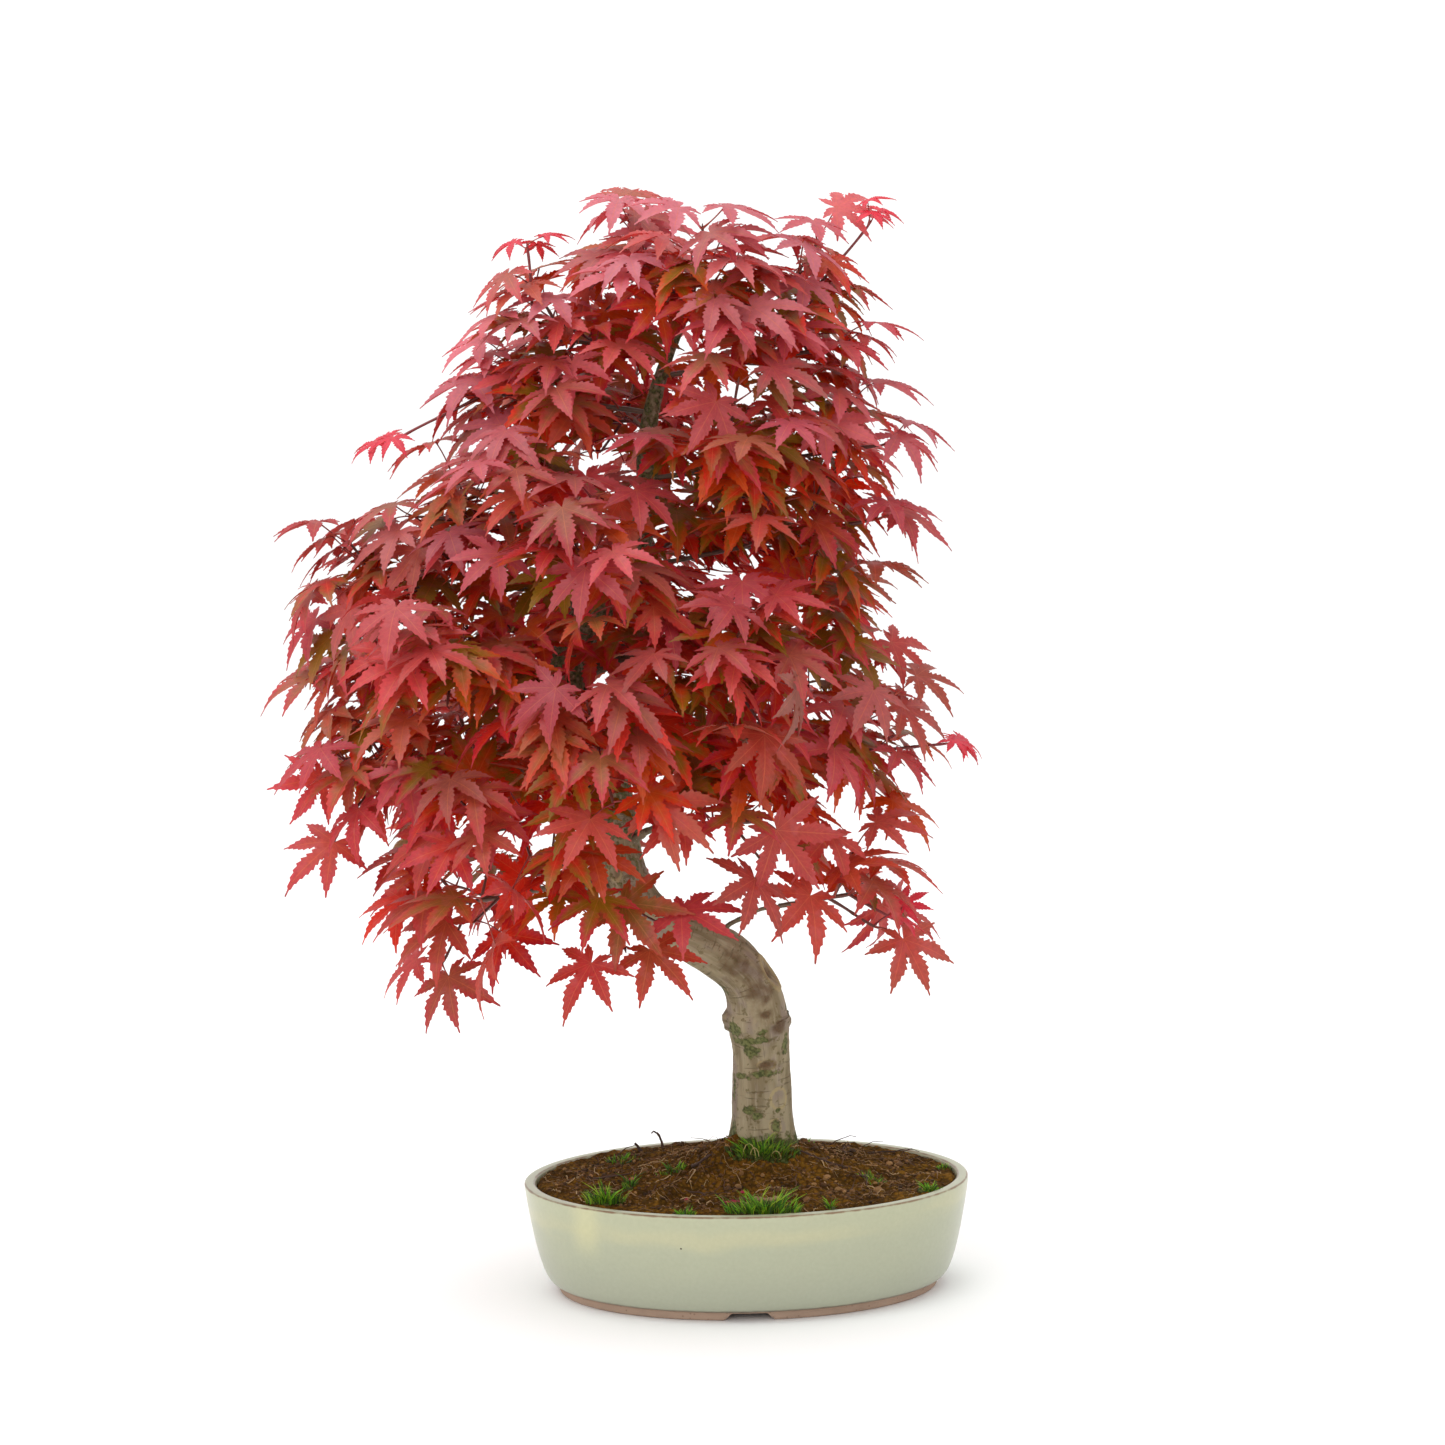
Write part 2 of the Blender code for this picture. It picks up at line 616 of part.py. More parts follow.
def centre_on_origin():
    """Move every mesh so that the whole object's box stands centred on the origin."""
    corners = [v.co for obj in bpy.data.objects for v in obj.data.vertices]
    low = Vector([min(c[k] for c in corners) for k in range(3)])
    high = Vector([max(c[k] for c in corners) for k in range(3)])
    shift = Vector((-(low.x + high.x) / 2, -(low.y + high.y) / 2, -low.z))
    for obj in bpy.data.objects:
        obj.data.transform(Matrix.Translation(shift))


def build():
    clear_scene()
    crowd = Crowd()
    pot = make_pot()
    soil = make_soil(trunk_solid("tool", GAP))
    for name, x in (("left", -DRAIN_X), ("right", DRAIN_X)):
        make_screen(f"drain_screen_{name}", x)
        make_screen_wire(f"screen_wire_{name}", x)
    crowd.add_object(pot)
    crowd.add_object(soil)
    crowd.add_object(trunk_solid("trunk", 0, "bark"))
    for limb in LIMBS:
        if limb[3]:
            crowd.add_object(make_limb_wood(f"branch_{limb[0]}", limb, trunk_solid("tool", GAP)))
    grown = {limb[0]: shoot_solids(limb, crowd) for limb in LIMBS}
    for limb in LIMBS:
        name = limb[0]
        shoots, bars = grown[name]
        places = grow_leaves(name, shoots, crowd)
        cutter = None if limb[3] else trunk_solid("tool", GAP)
        make_foliage(f"leaves_{name}", bars, places, cutter)
    for row in TUFTS:
        make_tuft(row, soil)
    centre_on_origin()


build()
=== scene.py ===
import math
import random

import bmesh
import bpy
import numpy as np
from mathutils import Matrix, Vector, noise
from mathutils.bvhtree import BVHTree
from mathutils.kdtree import KDTree


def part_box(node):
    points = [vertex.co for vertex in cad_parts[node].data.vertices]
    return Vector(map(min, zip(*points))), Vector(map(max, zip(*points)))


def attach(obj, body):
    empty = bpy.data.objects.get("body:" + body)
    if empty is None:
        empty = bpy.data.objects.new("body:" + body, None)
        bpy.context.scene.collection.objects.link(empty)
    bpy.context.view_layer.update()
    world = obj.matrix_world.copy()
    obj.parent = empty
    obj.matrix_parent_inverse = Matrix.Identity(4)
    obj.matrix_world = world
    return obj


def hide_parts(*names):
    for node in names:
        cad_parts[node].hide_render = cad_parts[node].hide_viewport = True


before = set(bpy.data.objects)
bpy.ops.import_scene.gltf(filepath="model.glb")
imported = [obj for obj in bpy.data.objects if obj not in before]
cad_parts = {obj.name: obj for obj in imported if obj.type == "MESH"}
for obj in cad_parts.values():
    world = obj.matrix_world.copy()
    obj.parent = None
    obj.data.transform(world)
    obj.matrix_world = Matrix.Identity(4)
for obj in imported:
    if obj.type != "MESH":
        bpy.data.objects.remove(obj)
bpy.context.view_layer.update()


# --- The pot ------------------------------------------------------------------------------------
# An oval tray of stoneware clay, pressed in a mould. It was dipped upside down in celadon glaze as far as
# its foot, which stays bare clay with a drain notch cut in front and behind, and fired once.

MM = 0.001
UP = Vector((0, 0, 1))
pot_low, pot_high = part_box("pot")
POT_MIDDLE = Vector(((pot_low.x + pot_high.x) / 2, (pot_low.y + pot_high.y) / 2, pot_low.z))
POT_HALF_WIDTH = 125 * MM
POT_HALF_DEPTH = 92.5 * MM
POT_SPOKES = 176
# Height and inset from the rim's oval, from the middle of the underside round the wall to the inner floor
POT_SECTION = (
    (5.8, 40), (5.2, 27), (0, 26), (0, 18.7), (4.8, 18.7), (5.4, 15.8), (8, 12.9), (14, 9.9),
    (27, 6.1), (45, 2.6), (60.5, 0.3), (62.4, 0.9), (62.4, 6.2), (60.5, 7.2), (40, 9.6),
    (20, 14), (14.2, 18), (13, 24),
)
FOOT_EASE = 0.9 * MM
GLAZE_FOOT = 5.1 * MM
RIM_TOP = 62.4 * MM
NOTCH_SECTION = ((-13.5, -1), (13.5, -1), (13.5, 0.6), (9.5, 4.2), (-9.5, 4.2), (-13.5, 0.6))
DRAIN_X = 48 * MM
DRAIN_RADIUS = 7.5 * MM
DRILL_TOP = 15 * MM
DRILL_SIDES = 48
# Inset and height of the rim's two edges, where the glaze broke thin, and how far the break spreads
RIM_EDGES = ((0.9 * MM, RIM_TOP - 0.5 * MM), (6 * MM, RIM_TOP - 0.5 * MM))
BREAK_SPREAD = 1.1 * MM
# Height of the waver in the glazed wall in millimetres, and how many waves there are to a metre
WALL_WAVER = 0.35
WALL_WAVES = 28
STREAK_X = -88 * MM


def srgb(red, green, blue):
    """A colour given by its screen values, as the linear values that a shader takes."""
    return (*(((c / 255 + 0.055) / 1.055) ** 2.4 for c in (red, green, blue)), 1)


class Finish:
    """One material: its Principled shader, and shorthands for the nodes that paint it."""

    def __init__(self, name, **fixed):
        self.material = bpy.data.materials.new(name)
        self.material.use_nodes = True
        self.nodes = self.material.node_tree.nodes
        self.links = self.material.node_tree.links
        self.shader = self.nodes["Principled BSDF"]
        self.here = self.nodes.new("ShaderNodeTexCoord").outputs["Object"]
        for socket, value in fixed.items():
            self.shader.inputs[socket.replace("_", " ")].default_value = value

    def node(self, kind, inputs, **settings):
        """Add a node, set it up, and feed its inputs with links or plain values."""
        made = self.nodes.new("ShaderNode" + kind)
        for name, value in settings.items():
            setattr(made, name, value)
        for socket, value in inputs.items():
            self.feed(made.inputs[socket], value)
        return made

    def feed(self, socket, value):
        if isinstance(value, bpy.types.NodeSocket):
            self.links.new(value, socket)
        else:
            socket.default_value = value

    def calc(self, operation, first, second=0.0):
        return self.node("Math", {0: first, 1: second}, operation=operation).outputs[0]

    def times(self, first, second):
        return self.calc("MULTIPLY", first, second)

    def plus(self, first, second):
        return self.calc("ADD", first, second)

    def minus(self, first, second):
        return self.calc("SUBTRACT", first, second)

    def within(self, value, low, high):
        """1 below low, 0 above high, and smooth between them."""
        return self.minus(1, self.step(value, low, high))

    def step(self, value, low, high):
        """0 below low, 1 above high, and smooth between them."""
        made = self.node("MapRange", {"Value": value, "From Min": low, "From Max": high},
                         interpolation_type="SMOOTHSTEP")
        return made.outputs["Result"]

    def span(self, value, low, high):
        """A value from 0 to 1 spread over low to high."""
        return self.node("MapRange", {"Value": value, "To Min": low, "To Max": high}).outputs["Result"]

    def mix(self, share, first, second):
        return self.node("Mix", {0: share, 6: first, 7: second}, data_type="RGBA").outputs[2]

    def stain(self, base, colour, cover, strength):
        """A colour stained with another where the cover is, by a share of its full strength."""
        return self.mix(self.times(cover, strength), base, colour)

    def shade(self, colour, low, high, share):
        """A colour made darker and lighter by a value from 0 to 1."""
        made = self.node("HueSaturation", {"Color": colour, "Value": self.span(share, low, high)})
        return made.outputs["Color"]

    def grain(self, size, detail=3.0, where=None, stretch=None):
        """Soft noise from 0 to 1, with grains of a size in metres, longer along the stretched axes."""
        where = where or self.here
        if stretch:
            scale = [1 / s for s in stretch]
            where = self.node("Mapping", {"Vector": where, "Scale": scale}).outputs["Vector"]
        return self.node("TexNoise", {"Vector": where, "Scale": 1 / size, "Detail": detail}).outputs[0]

    def cells(self, size, where=None):
        """Distance from the middles of scattered cells, as a share of their size."""
        return self.node("TexVoronoi", {"Vector": where or self.here, "Scale": 1 / size}).outputs["Distance"]

    def painted(self, name, kind="Fac"):
        """What is painted on the mesh under a name, as a number, a vector or a colour."""
        return self.node("Attribute", {}, attribute_name=name).outputs[kind]

    def apart(self, vector):
        return self.node("SeparateXYZ", {0: vector}).outputs

    def bump(self, height, depth, strength=1.0, normal=None):
        inputs = {"Height": height, "Distance": depth, "Strength": strength}
        if normal:
            inputs["Normal"] = normal
        return self.node("Bump", inputs).outputs["Normal"]

    def wear(self, colour, normal):
        """Link the colour and the relief to the shader, and return the material."""
        self.links.new(colour, self.shader.inputs["Base Color"])
        self.links.new(normal, self.shader.inputs["Normal"])
        return self.material


class Shape:
    """Points, faces and painted values of a piece while it is put together."""

    def __init__(self):
        self.points = []
        self.faces = []
        self.finish = []
        self.paint = {}

    def add(self, points, faces, finish=0, **paint):
        start = len(self.points)
        self.points.extend(points)
        self.faces.extend([k + start for k in face] for face in faces)
        self.finish.extend([finish] * len(faces) if isinstance(finish, int) else finish)
        for name, values in paint.items():
            self.paint.setdefault(name, []).extend(values)


def new_mesh(name, points, faces):
    mesh = bpy.data.meshes.new(name)
    mesh.from_pydata([tuple(p) for p in points], [], faces)
    return mesh


def new_object(name, data):
    """Put a new object into the scene, with its mesh, lamp or camera."""
    made = bpy.data.objects.new(name, data)
    bpy.context.scene.collection.objects.link(made)
    return made


def paint_mesh(mesh, name, values):
    """Store one number, vector or colour for each point of a mesh."""
    values = np.array(values, np.float32)
    width = 1 if values.ndim == 1 else values.shape[1]
    kind, socket = {1: ("FLOAT", "value"), 3: ("FLOAT_VECTOR", "vector"), 4: ("FLOAT_COLOR", "color")}[width]
    layer = mesh.attributes.new(name, kind, "POINT")
    layer.data.foreach_set(socket, values.ravel())


def add_piece(name, shape, finishes, stands_for=(), crease=40):
    """Make a piece of the finished object, riding on the frame's one body."""
    mesh = new_mesh(name, shape.points, shape.faces)
    for finish in finishes:
        mesh.materials.append(finish)
    if any(shape.finish):
        mesh.polygons.foreach_set("material_index", shape.finish)
    for label, values in shape.paint.items():
        paint_mesh(mesh, label, values)
    mesh.shade_smooth()
    mesh.set_sharp_from_angle(angle=math.radians(crease))
    piece = new_object(name, mesh)
    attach(piece, "root")
    if stands_for:
        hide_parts(*stands_for)
    return piece


def turns_of(count):
    """Evenly spaced angles once round."""
    return [math.tau * k / count for k in range(count)]


def skin(rings, sides):
    """Faces between rows of points, each a ring of that many, with both ends closed."""
    faces = []
    for i in range(rings - 1):
        for k in range(sides):
            after = (k + 1) % sides
            low, high = i * sides, (i + 1) * sides
            faces.append((low + k, low + after, high + after, high + k))
    faces.append(tuple(range(sides - 1, -1, -1)))
    faces.append(tuple((rings - 1) * sides + k for k in range(sides)))
    return faces


def eased(section, crisp, rounds=3):
    """A section with its gentle bends smoothed and its sharp corners rounded by at most `crisp`."""
    for _ in range(rounds):
        softer = [section[0]]
        for before, corner, after in zip(section, section[1:], section[2:]):
            into, out = corner - before, after - corner
            limit = crisp if into.angle(out) > 0.6 else 1
            softer.append(corner - into.normalized() * min(into.length / 4, limit))
            softer.append(corner + out.normalized() * min(out.length / 4, limit))
        section = softer + [section[-1]]
    return section


def oval(inset, turn, height):
    """A point on the pot's oval, drawn in by an inset."""
    x = (POT_HALF_WIDTH - inset) * math.cos(turn)
    y = (POT_HALF_DEPTH - inset) * math.sin(turn)
    return POT_MIDDLE + Vector((x, y, height))


def cut_away(piece, points, faces):
    """Cut a closed solid out of a piece."""
    tool = new_object("tool", new_mesh("tool", points, faces))
    cut = piece.modifiers.new("cut", "BOOLEAN")
    cut.operation = "DIFFERENCE"
    cut.solver = "EXACT"
    cut.object = tool
    result = bpy.data.meshes.new_from_object(piece.evaluated_get(bpy.context.evaluated_depsgraph_get()))
    piece.modifiers.clear()
    piece.data = result
    bpy.data.objects.remove(tool)


def bar(path, radii, sides):
    """Points and faces of a closed round bar along a path."""
    points = []
    last = (path[1] - path[0]).normalized()
    side = last.orthogonal().normalized()
    for i, (point, radius) in enumerate(zip(path, radii)):
        ahead = (path[min(i + 1, len(path) - 1)] - path[max(i - 1, 0)]).normalized()
        side.rotate(last.rotation_difference(ahead))
        side = (side - ahead * side.dot(ahead)).normalized()
        last = ahead
        other = ahead.cross(side)
        for turn in turns_of(sides):
            points.append(point + (side * math.cos(turn) + other * math.sin(turn)) * radius)
    return points, skin(len(path), sides)


def make_pot():
    shape = Shape()
    section = eased([Vector(row) * MM for row in POT_SECTION], FOOT_EASE)
    points = [oval(inset, turn, height) for height, inset in section for turn in turns_of(POT_SPOKES)]
    shape.add(points, skin(len(section), POT_SPOKES))
    pot = add_piece("pot_body", shape, [celadon(), foot_clay()], ["pot"], crease=50)
    ends = (POT_HALF_DEPTH, -POT_HALF_DEPTH)
    notches = [POT_MIDDLE + Vector((x * MM, y, z * MM)) for y in ends for x, z in NOTCH_SECTION]
    cut_away(pot, notches, skin(2, len(NOTCH_SECTION)))
    for x in (-DRAIN_X, DRAIN_X):
        drill = [POT_MIDDLE + Vector((x, 0, z)) for z in (-MM, DRILL_TOP)]
        cut_away(pot, *bar(drill, [DRAIN_RADIUS] * len(drill), DRILL_SIDES))
    finish_pot_surface(pot.data)


def hump(away, width):
    """1 at the middle of a soft hump, fading to nothing about two widths away."""
    return math.exp(-(away / width) ** 2)


def finish_pot_surface(mesh):
    """Let the wall waver as hand-dipped glaze does, and mark where the glaze ran thin over an edge."""
    thin = []
    flatness = POT_HALF_DEPTH / POT_HALF_WIDTH
    for vertex in mesh.vertices:
        place = vertex.co - POT_MIDDLE
        spread = math.hypot(place.x / POT_HALF_WIDTH, place.y / POT_HALF_DEPTH)
        slope = math.hypot(place.x * flatness, place.y / flatness)
        inset = (1 - spread) * POT_HALF_WIDTH * POT_HALF_DEPTH * spread / max(1e-6, slope)
        near = min(math.hypot(inset - i, place.z - z) for i, z in RIM_EDGES)
        thin.append(hump(near, BREAK_SPREAD))
        if GLAZE_FOOT < place.z < RIM_TOP - 3 * MM and inset < 18 * MM:
            wave = noise.noise(place * WALL_WAVES) * WALL_WAVER * MM
            vertex.co += Vector((place.x, place.y, 0)).normalized() * wave
    paint_mesh(mesh, "thin_glaze", thin)
    for face in mesh.polygons:
        face.material_index = int(face.center.z - POT_MIDDLE.z < GLAZE_FOOT)


def celadon():
    """Pale grey-green glaze: creamy where it pooled under the rim, brown where it broke thin over edges."""
    f = Finish("celadon_glaze", Roughness=0.3, Specular_IOR_Level=0.4, Coat_Weight=0.12, Coat_Roughness=0.1)
    x, y, z = f.apart(f.here)
    rise = f.plus(z, f.times(f.minus(f.grain(0.05, 2), 0.5), 0.022))
    lower = f.mix(f.step(rise, 0.012, 0.042), srgb(162, 165, 144), srgb(168, 171, 146))
    upper = f.mix(f.step(rise, 0.040, 0.056), lower, srgb(174, 176, 147))
    band_line = f.minus(rise, f.times(x, 0.02))
    band = f.times(f.step(band_line, 0.040, 0.047), f.within(band_line, 0.049, 0.056))
    band = f.times(band, f.step(f.grain(0.03, 2, stretch=(3, 3, 0.5)), 0.36, 0.6))
    creamy = f.stain(upper, srgb(200, 192, 146), band, 0.28)
    beside = f.calc("ABSOLUTE", f.minus(x, POT_MIDDLE.x + STREAK_X))
    streak = f.times(f.within(beside, 0.001, 0.011), f.step(z, 0.03, 0.046))
    streak = f.times(streak, f.calc("LESS_THAN", y, POT_MIDDLE.y))
    creamy = f.stain(creamy, srgb(204, 200, 152), streak, 0.45)
    mottled = f.shade(creamy, 0.93, 1.07, f.grain(0.0022, 4))
    broken = f.times(f.painted("thin_glaze"), f.span(f.grain(0.006, 3), 0.35, 1.25))
    rim = f.mix(f.step(broken, 0.45, 0.85), mottled, srgb(128, 104, 78))
    ragged_foot = f.plus(z, f.span(f.grain(0.004), -0.0006, 0.0006))
    edge = f.within(ragged_foot, 0.0053, 0.0072)
    footed = f.mix(edge, rim, srgb(92, 80, 62))
    speck = f.within(f.cells(0.034), 0.010, 0.019)
    colour = f.mix(speck, footed, srgb(62, 48, 34))
    peel = f.bump(f.grain(0.0035, 2), 0.00012, 0.5)
    pitted = f.bump(f.minus(1, speck), 0.0006, 0.6, peel)
    return f.wear(colour, pitted)


def foot_clay():
    """Bare fired clay, pinkish tan with fine grog and a few iron specks."""
    f = Finish("foot_clay", Roughness=0.86)
    clay = f.mix(f.grain(0.012, 4), srgb(150, 126, 108), srgb(176, 148, 128))
    colour = f.stain(clay, srgb(96, 66, 48), f.within(f.cells(0.0035), 0.1, 0.2), 0.5)
    return f.wear(colour, f.bump(f.grain(0.0012, 4), 0.0003, 0.8))


make_pot()


# --- The drain screens and their wires --------------------------------------------------------------
# Squares of black plastic mesh lie over the two drain holes inside the pot. A bent aluminium wire holds
# each one down, with its legs through the hole. Their frame solids already have the right shape.

def screen_plastic():
    f = Finish("screen_mesh", Roughness=0.5)
    colour = f.mix(f.grain(0.002, 3), srgb(34, 34, 33), srgb(60, 58, 55))
    return f.wear(colour, f.bump(f.grain(0.0006, 2), 0.0001, 0.5))


def drawn_wire():
    f = Finish("drawn_aluminium", Metallic=1.0, Roughness=0.3)
    colour = f.mix(f.grain(0.003, 3, stretch=(6, 1, 1)), srgb(178, 176, 172), srgb(214, 212, 208))
    return f.wear(colour, f.bump(f.grain(0.0004, 2, stretch=(12, 1, 1)), 0.00004, 0.5))


screen_finish = screen_plastic()
wire_finish = drawn_wire()
for hand in ("left", "right"):
    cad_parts[f"drain_screen_{hand}"].material_slots[0].material = screen_finish
    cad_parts[f"screen_wire_{hand}"].material_slots[0].material = wire_finish


# --- The soil ------------------------------------------------------------------------------------
# A root ball in dark, peaty bonsai soil, mounded round the trunk and pressed down to just under the rim.
# A thick surface root runs under it to the front left and a thinner one to the right. Its top is crumbly.

# Height and inset from the rim's oval, from the inner floor up the wall to the soil's edge, in millimetres
SOIL_SECTION = ((13.3, 25), (14.6, 19), (20, 14.4), (40, 10), (59.6, 7.7))
SOIL_INSET = 7.7 * MM
SOIL_SPOKES = 400
SOIL_ROWS = 116
SOIL_LEVEL = 61.7 * MM
MOUND_HEIGHT = 20 * MM
MOUND_CENTRE = (6 * MM, 14 * MM)
MOUND_REACH = (48 * MM, 40 * MM)
# Stations along each surface root and how far it lifts the soil, in millimetres
SURFACE_ROOTS = (((-6, 4), (-22, -18), (-46, -48), 5.5), ((14, 2), (34, -10), (66, -22), 2.5))
ROOT_WIDTH = 6 * MM
POCKET_SIDE = 26 * MM
POCKET_FOOT = 10 * MM
POCKET_TOP = 16.4 * MM


def ground(x, y, fine=True):
    """Height of the soil at a place given from the pot's middle."""
    dx = (x - MOUND_CENTRE[0]) / MOUND_REACH[0]
    dy = (y - MOUND_CENTRE[1]) / MOUND_REACH[1]
    height = SOIL_LEVEL + MOUND_HEIGHT * math.exp(-dx * dx - dy * dy)
    for *stations, rise in SURFACE_ROOTS:
        near = min(gap_to(x, y, a, b) for a, b in zip(stations, stations[1:]))
        height += rise * MM * hump(near, ROOT_WIDTH)
    if fine:
        spot = Vector((x, y, 0))
        height += noise.noise(spot * 90) * 1.6 * MM
        height += noise.noise(spot * 260 + UP) * 1.1 * MM
        height += abs(noise.noise(spot * 620 + UP * 5)) * 1.5 * MM
    edge = 1 - math.hypot(x / (POT_HALF_WIDTH - SOIL_INSET), y / (POT_HALF_DEPTH - SOIL_INSET))
    piled = MM * max(0, y / POT_HALF_DEPTH - 0.7 * x / POT_HALF_WIDTH) * hump(edge, 0.2)
    return height + piled - 1.2 * MM * hump(edge, 0.012) - 0.8 * MM


def held(value):
    """A value kept from 0 to 1."""
    return min(1, max(0, value))


def gap_to(x, y, start, end):
    """Distance on the soil from a place to the line between two stations, in metres."""
    spot, start, end = Vector((x, y)), Vector(start) * MM, Vector(end) * MM
    run = end - start
    share = held((spot - start).dot(run) / run.length_squared)
    return (spot - start - run * share).length


def on_ground(x, y, lift=0.0):
    """The point on the soil above a place given from the pot's middle."""
    return POT_MIDDLE + Vector((x, y, ground(x, y) + lift))


def make_soil():
    shape = Shape()
    turns = turns_of(SOIL_SPOKES)
    rows = [[oval(inset * MM, turn, height * MM) for turn in turns] for height, inset in SOIL_SECTION]
    rim = [(p.x - POT_MIDDLE.x, p.y - POT_MIDDLE.y) for p in rows[-1]]
    for row in range(1, SOIL_ROWS):
        share = 1 - row / SOIL_ROWS
        rows.append([on_ground(x * share, y * share) for x, y in rim])
    shape.add([p for row in rows for p in row], skin(len(rows), SOIL_SPOKES))
    soil = add_piece("soil_bed", shape, [peat()], ["soil"], crease=80)
    half = POCKET_SIDE / 2
    for x in (-DRAIN_X, DRAIN_X):
        corners = ((x - half, -half), (x + half, -half), (x + half, half), (x - half, half))
        pocket = [POT_MIDDLE + Vector((cx, cy, z)) for z in (POCKET_FOOT, POCKET_TOP) for cx, cy in corners]
        cut_away(soil, pocket, skin(2, len(corners)))


def peat():
    """Dark brown crumbs with paler rotted fibre, and painted shade in the gaps between them."""
    f = Finish("peat_soil", Roughness=0.95, Specular_IOR_Level=0.1)
    base = f.mix(f.step(f.grain(0.02, 4), 0.35, 0.65), srgb(78, 50, 10), srgb(124, 86, 24))
    flecked = f.stain(base, srgb(152, 112, 48), f.step(f.grain(0.0016, 4), 0.56, 0.72), 0.7)
    # Painted shade: the gaps between the crumbs are painted nearly black and pressed in below.
    gaps = f.step(f.cells(0.0028), 0.25, 0.75)
    colour = f.stain(flecked, srgb(46, 31, 6), gaps, 0.7)
    rough = f.bump(f.grain(0.0012, 5), 0.0012, 0.9)
    return f.wear(colour, f.bump(f.minus(1, gaps), 0.0012, 0.5, rough))


make_soil()


# --- The crumbs and roots on the soil ---------------------------------------------------------------
# Loose crumbs of peat and grit lie on the bed, with hair roots and straws teased out by raking, a few dead
# twigs that mostly stand up at the back, and dropped bits of crimson leaf. None of it is fixed.

SMALL_CRUMBS = 1500
LARGE_CRUMBS = 70
# Pale bits of grit at the front: place from the pot's middle and size, in millimetres
GRIT = ((8, -58, 2.8), (12, -60, 2.1), (16, -57, 2.4), (5, -55, 1.8))
GRIT_TAN = srgb(150, 122, 86)
HAIR_ROOTS = 620
HAIR_STEPS = 8
TWIG_BROWN = srgb(70, 48, 38)
# Slivers of fallen leaf: place and length in millimetres, and heading
SLIVERS = ((-8, -62, 11, 0.1), (-33, -52, 4, 1.3), (-64, -8, 4, 0.6), (-2, -44, 4, 2.4))
SLIVER_RED = srgb(150, 24, 50)


def scatter(rng, edge=0.93):
    """A random place on the soil from the pot's middle, inside a share of its oval."""
    turn = rng.uniform(0, math.tau)
    reach = math.sqrt(rng.random()) * edge
    x = (POT_HALF_WIDTH - 8 * MM) * reach * math.cos(turn)
    y = (POT_HALF_DEPTH - 8 * MM) * reach * math.sin(turn)
    return x, y


def knocked_ball(rng, middle, size, turns=1):
    """A small lump with knocked-off corners."""
    bm = bmesh.new()
    bmesh.ops.create_icosphere(bm, subdivisions=turns, radius=1)
    stretch = Vector((rng.uniform(0.7, 1.3), rng.uniform(0.7, 1.3), rng.uniform(0.5, 0.9))) * size
    spin = Matrix.Rotation(rng.uniform(0, math.tau), 3, "Z")
    spin = spin @ Matrix.Rotation(rng.uniform(-0.6, 0.6), 3, "X")
    points = [middle + spin @ (v.co * rng.uniform(0.78, 1.1) * stretch) for v in bm.verts]
    faces = [[v.index for v in face.verts] for face in bm.faces]
    bm.free()
    return points, faces


def lit(colour, factor):
    """A colour made darker or lighter."""
    return (*(c * factor for c in colour[:3]), 1)


def lay(shape, rng, solid, colour, uneven):
    """Add a small solid in one colour, a little darker or lighter than the others of its kind."""
    points, faces = solid
    shape.add(points, faces, tint=[lit(colour, 1 + rng.uniform(-uneven, uneven))] * len(points))


def make_crumbs():
    rng = random.Random("crumbs")
    browns = (srgb(82, 54, 24), srgb(110, 76, 38), srgb(62, 40, 18), srgb(138, 102, 60), srgb(92, 62, 30))
    shape = Shape()
    for _ in range(SMALL_CRUMBS):
        x, y = scatter(rng)
        size = rng.choice((0.5, 0.7, 0.7, 0.9, 1.2)) * MM * rng.uniform(0.8, 1.3)
        lay(shape, rng, knocked_ball(rng, on_ground(x, y, size * 0.3), size), rng.choice(browns), 0.3)
    for _ in range(LARGE_CRUMBS):
        x, y = scatter(rng, 0.85)
        size = rng.uniform(1.5, 2.6) * MM
        lay(shape, rng, knocked_ball(rng, on_ground(x, y, size * 0.2), size, 2), rng.choice(browns), 0.2)
    for x, y, size in GRIT:
        lay(shape, rng, knocked_ball(rng, on_ground(x * MM, y * MM, MM), size * MM, 2), GRIT_TAN, 0.15)
    add_piece("soil_crumbs", shape, [litter_finish("peat_crumb", 0.95)], crease=25)


def litter_finish(name, roughness, grain=0.001):
    """Finish for small loose things, each in its own painted colour."""
    f = Finish(name, Roughness=roughness)
    colour = f.shade(f.painted("tint", "Color"), 0.75, 1.25, f.grain(grain, 4))
    return f.wear(colour, f.bump(f.grain(grain / 2, 3), 0.0002, 0.6))


def make_hair_roots():
    rng = random.Random("hair roots")
    straws = (srgb(126, 92, 62), srgb(150, 116, 80), srgb(98, 68, 44), srgb(84, 56, 38), srgb(176, 146, 106))
    shape = Shape()
    for _ in range(HAIR_ROOTS):
        x, y = scatter(rng, 0.95)
        heading = rng.uniform(0, math.tau)
        length = rng.choice((5, 8, 12, 18)) * MM * rng.uniform(0.7, 1.3)
        lifted = rng.random() < 0.18
        path = []
        for k in range(HAIR_STEPS):
            heading += rng.uniform(-0.45, 0.45)
            x += math.cos(heading) * length / (HAIR_STEPS - 1)
            y += math.sin(heading) * length / (HAIR_STEPS - 1)
            if math.hypot(x / (POT_HALF_WIDTH - 9 * MM), y / (POT_HALF_DEPTH - 9 * MM)) > 1:
                break
            lift = rng.uniform(-0.2, 0.6) * MM
            if lifted:
                lift += math.sin(k / (HAIR_STEPS - 1) * math.pi) * rng.uniform(1, 3) * MM
            path.append(on_ground(x, y, lift))
        if len(path) > 3:
            thick = rng.choice((0.14, 0.18, 0.24, 0.4)) * MM
            radii = [thick * (1 - 0.6 * k / len(path)) for k in range(len(path))]
            lay(shape, rng, bar(path, radii, 5), rng.choice(straws), 0.2)
    add_piece("hair_roots", shape, [litter_finish("hair_root", 0.85, 0.0015)], crease=60)


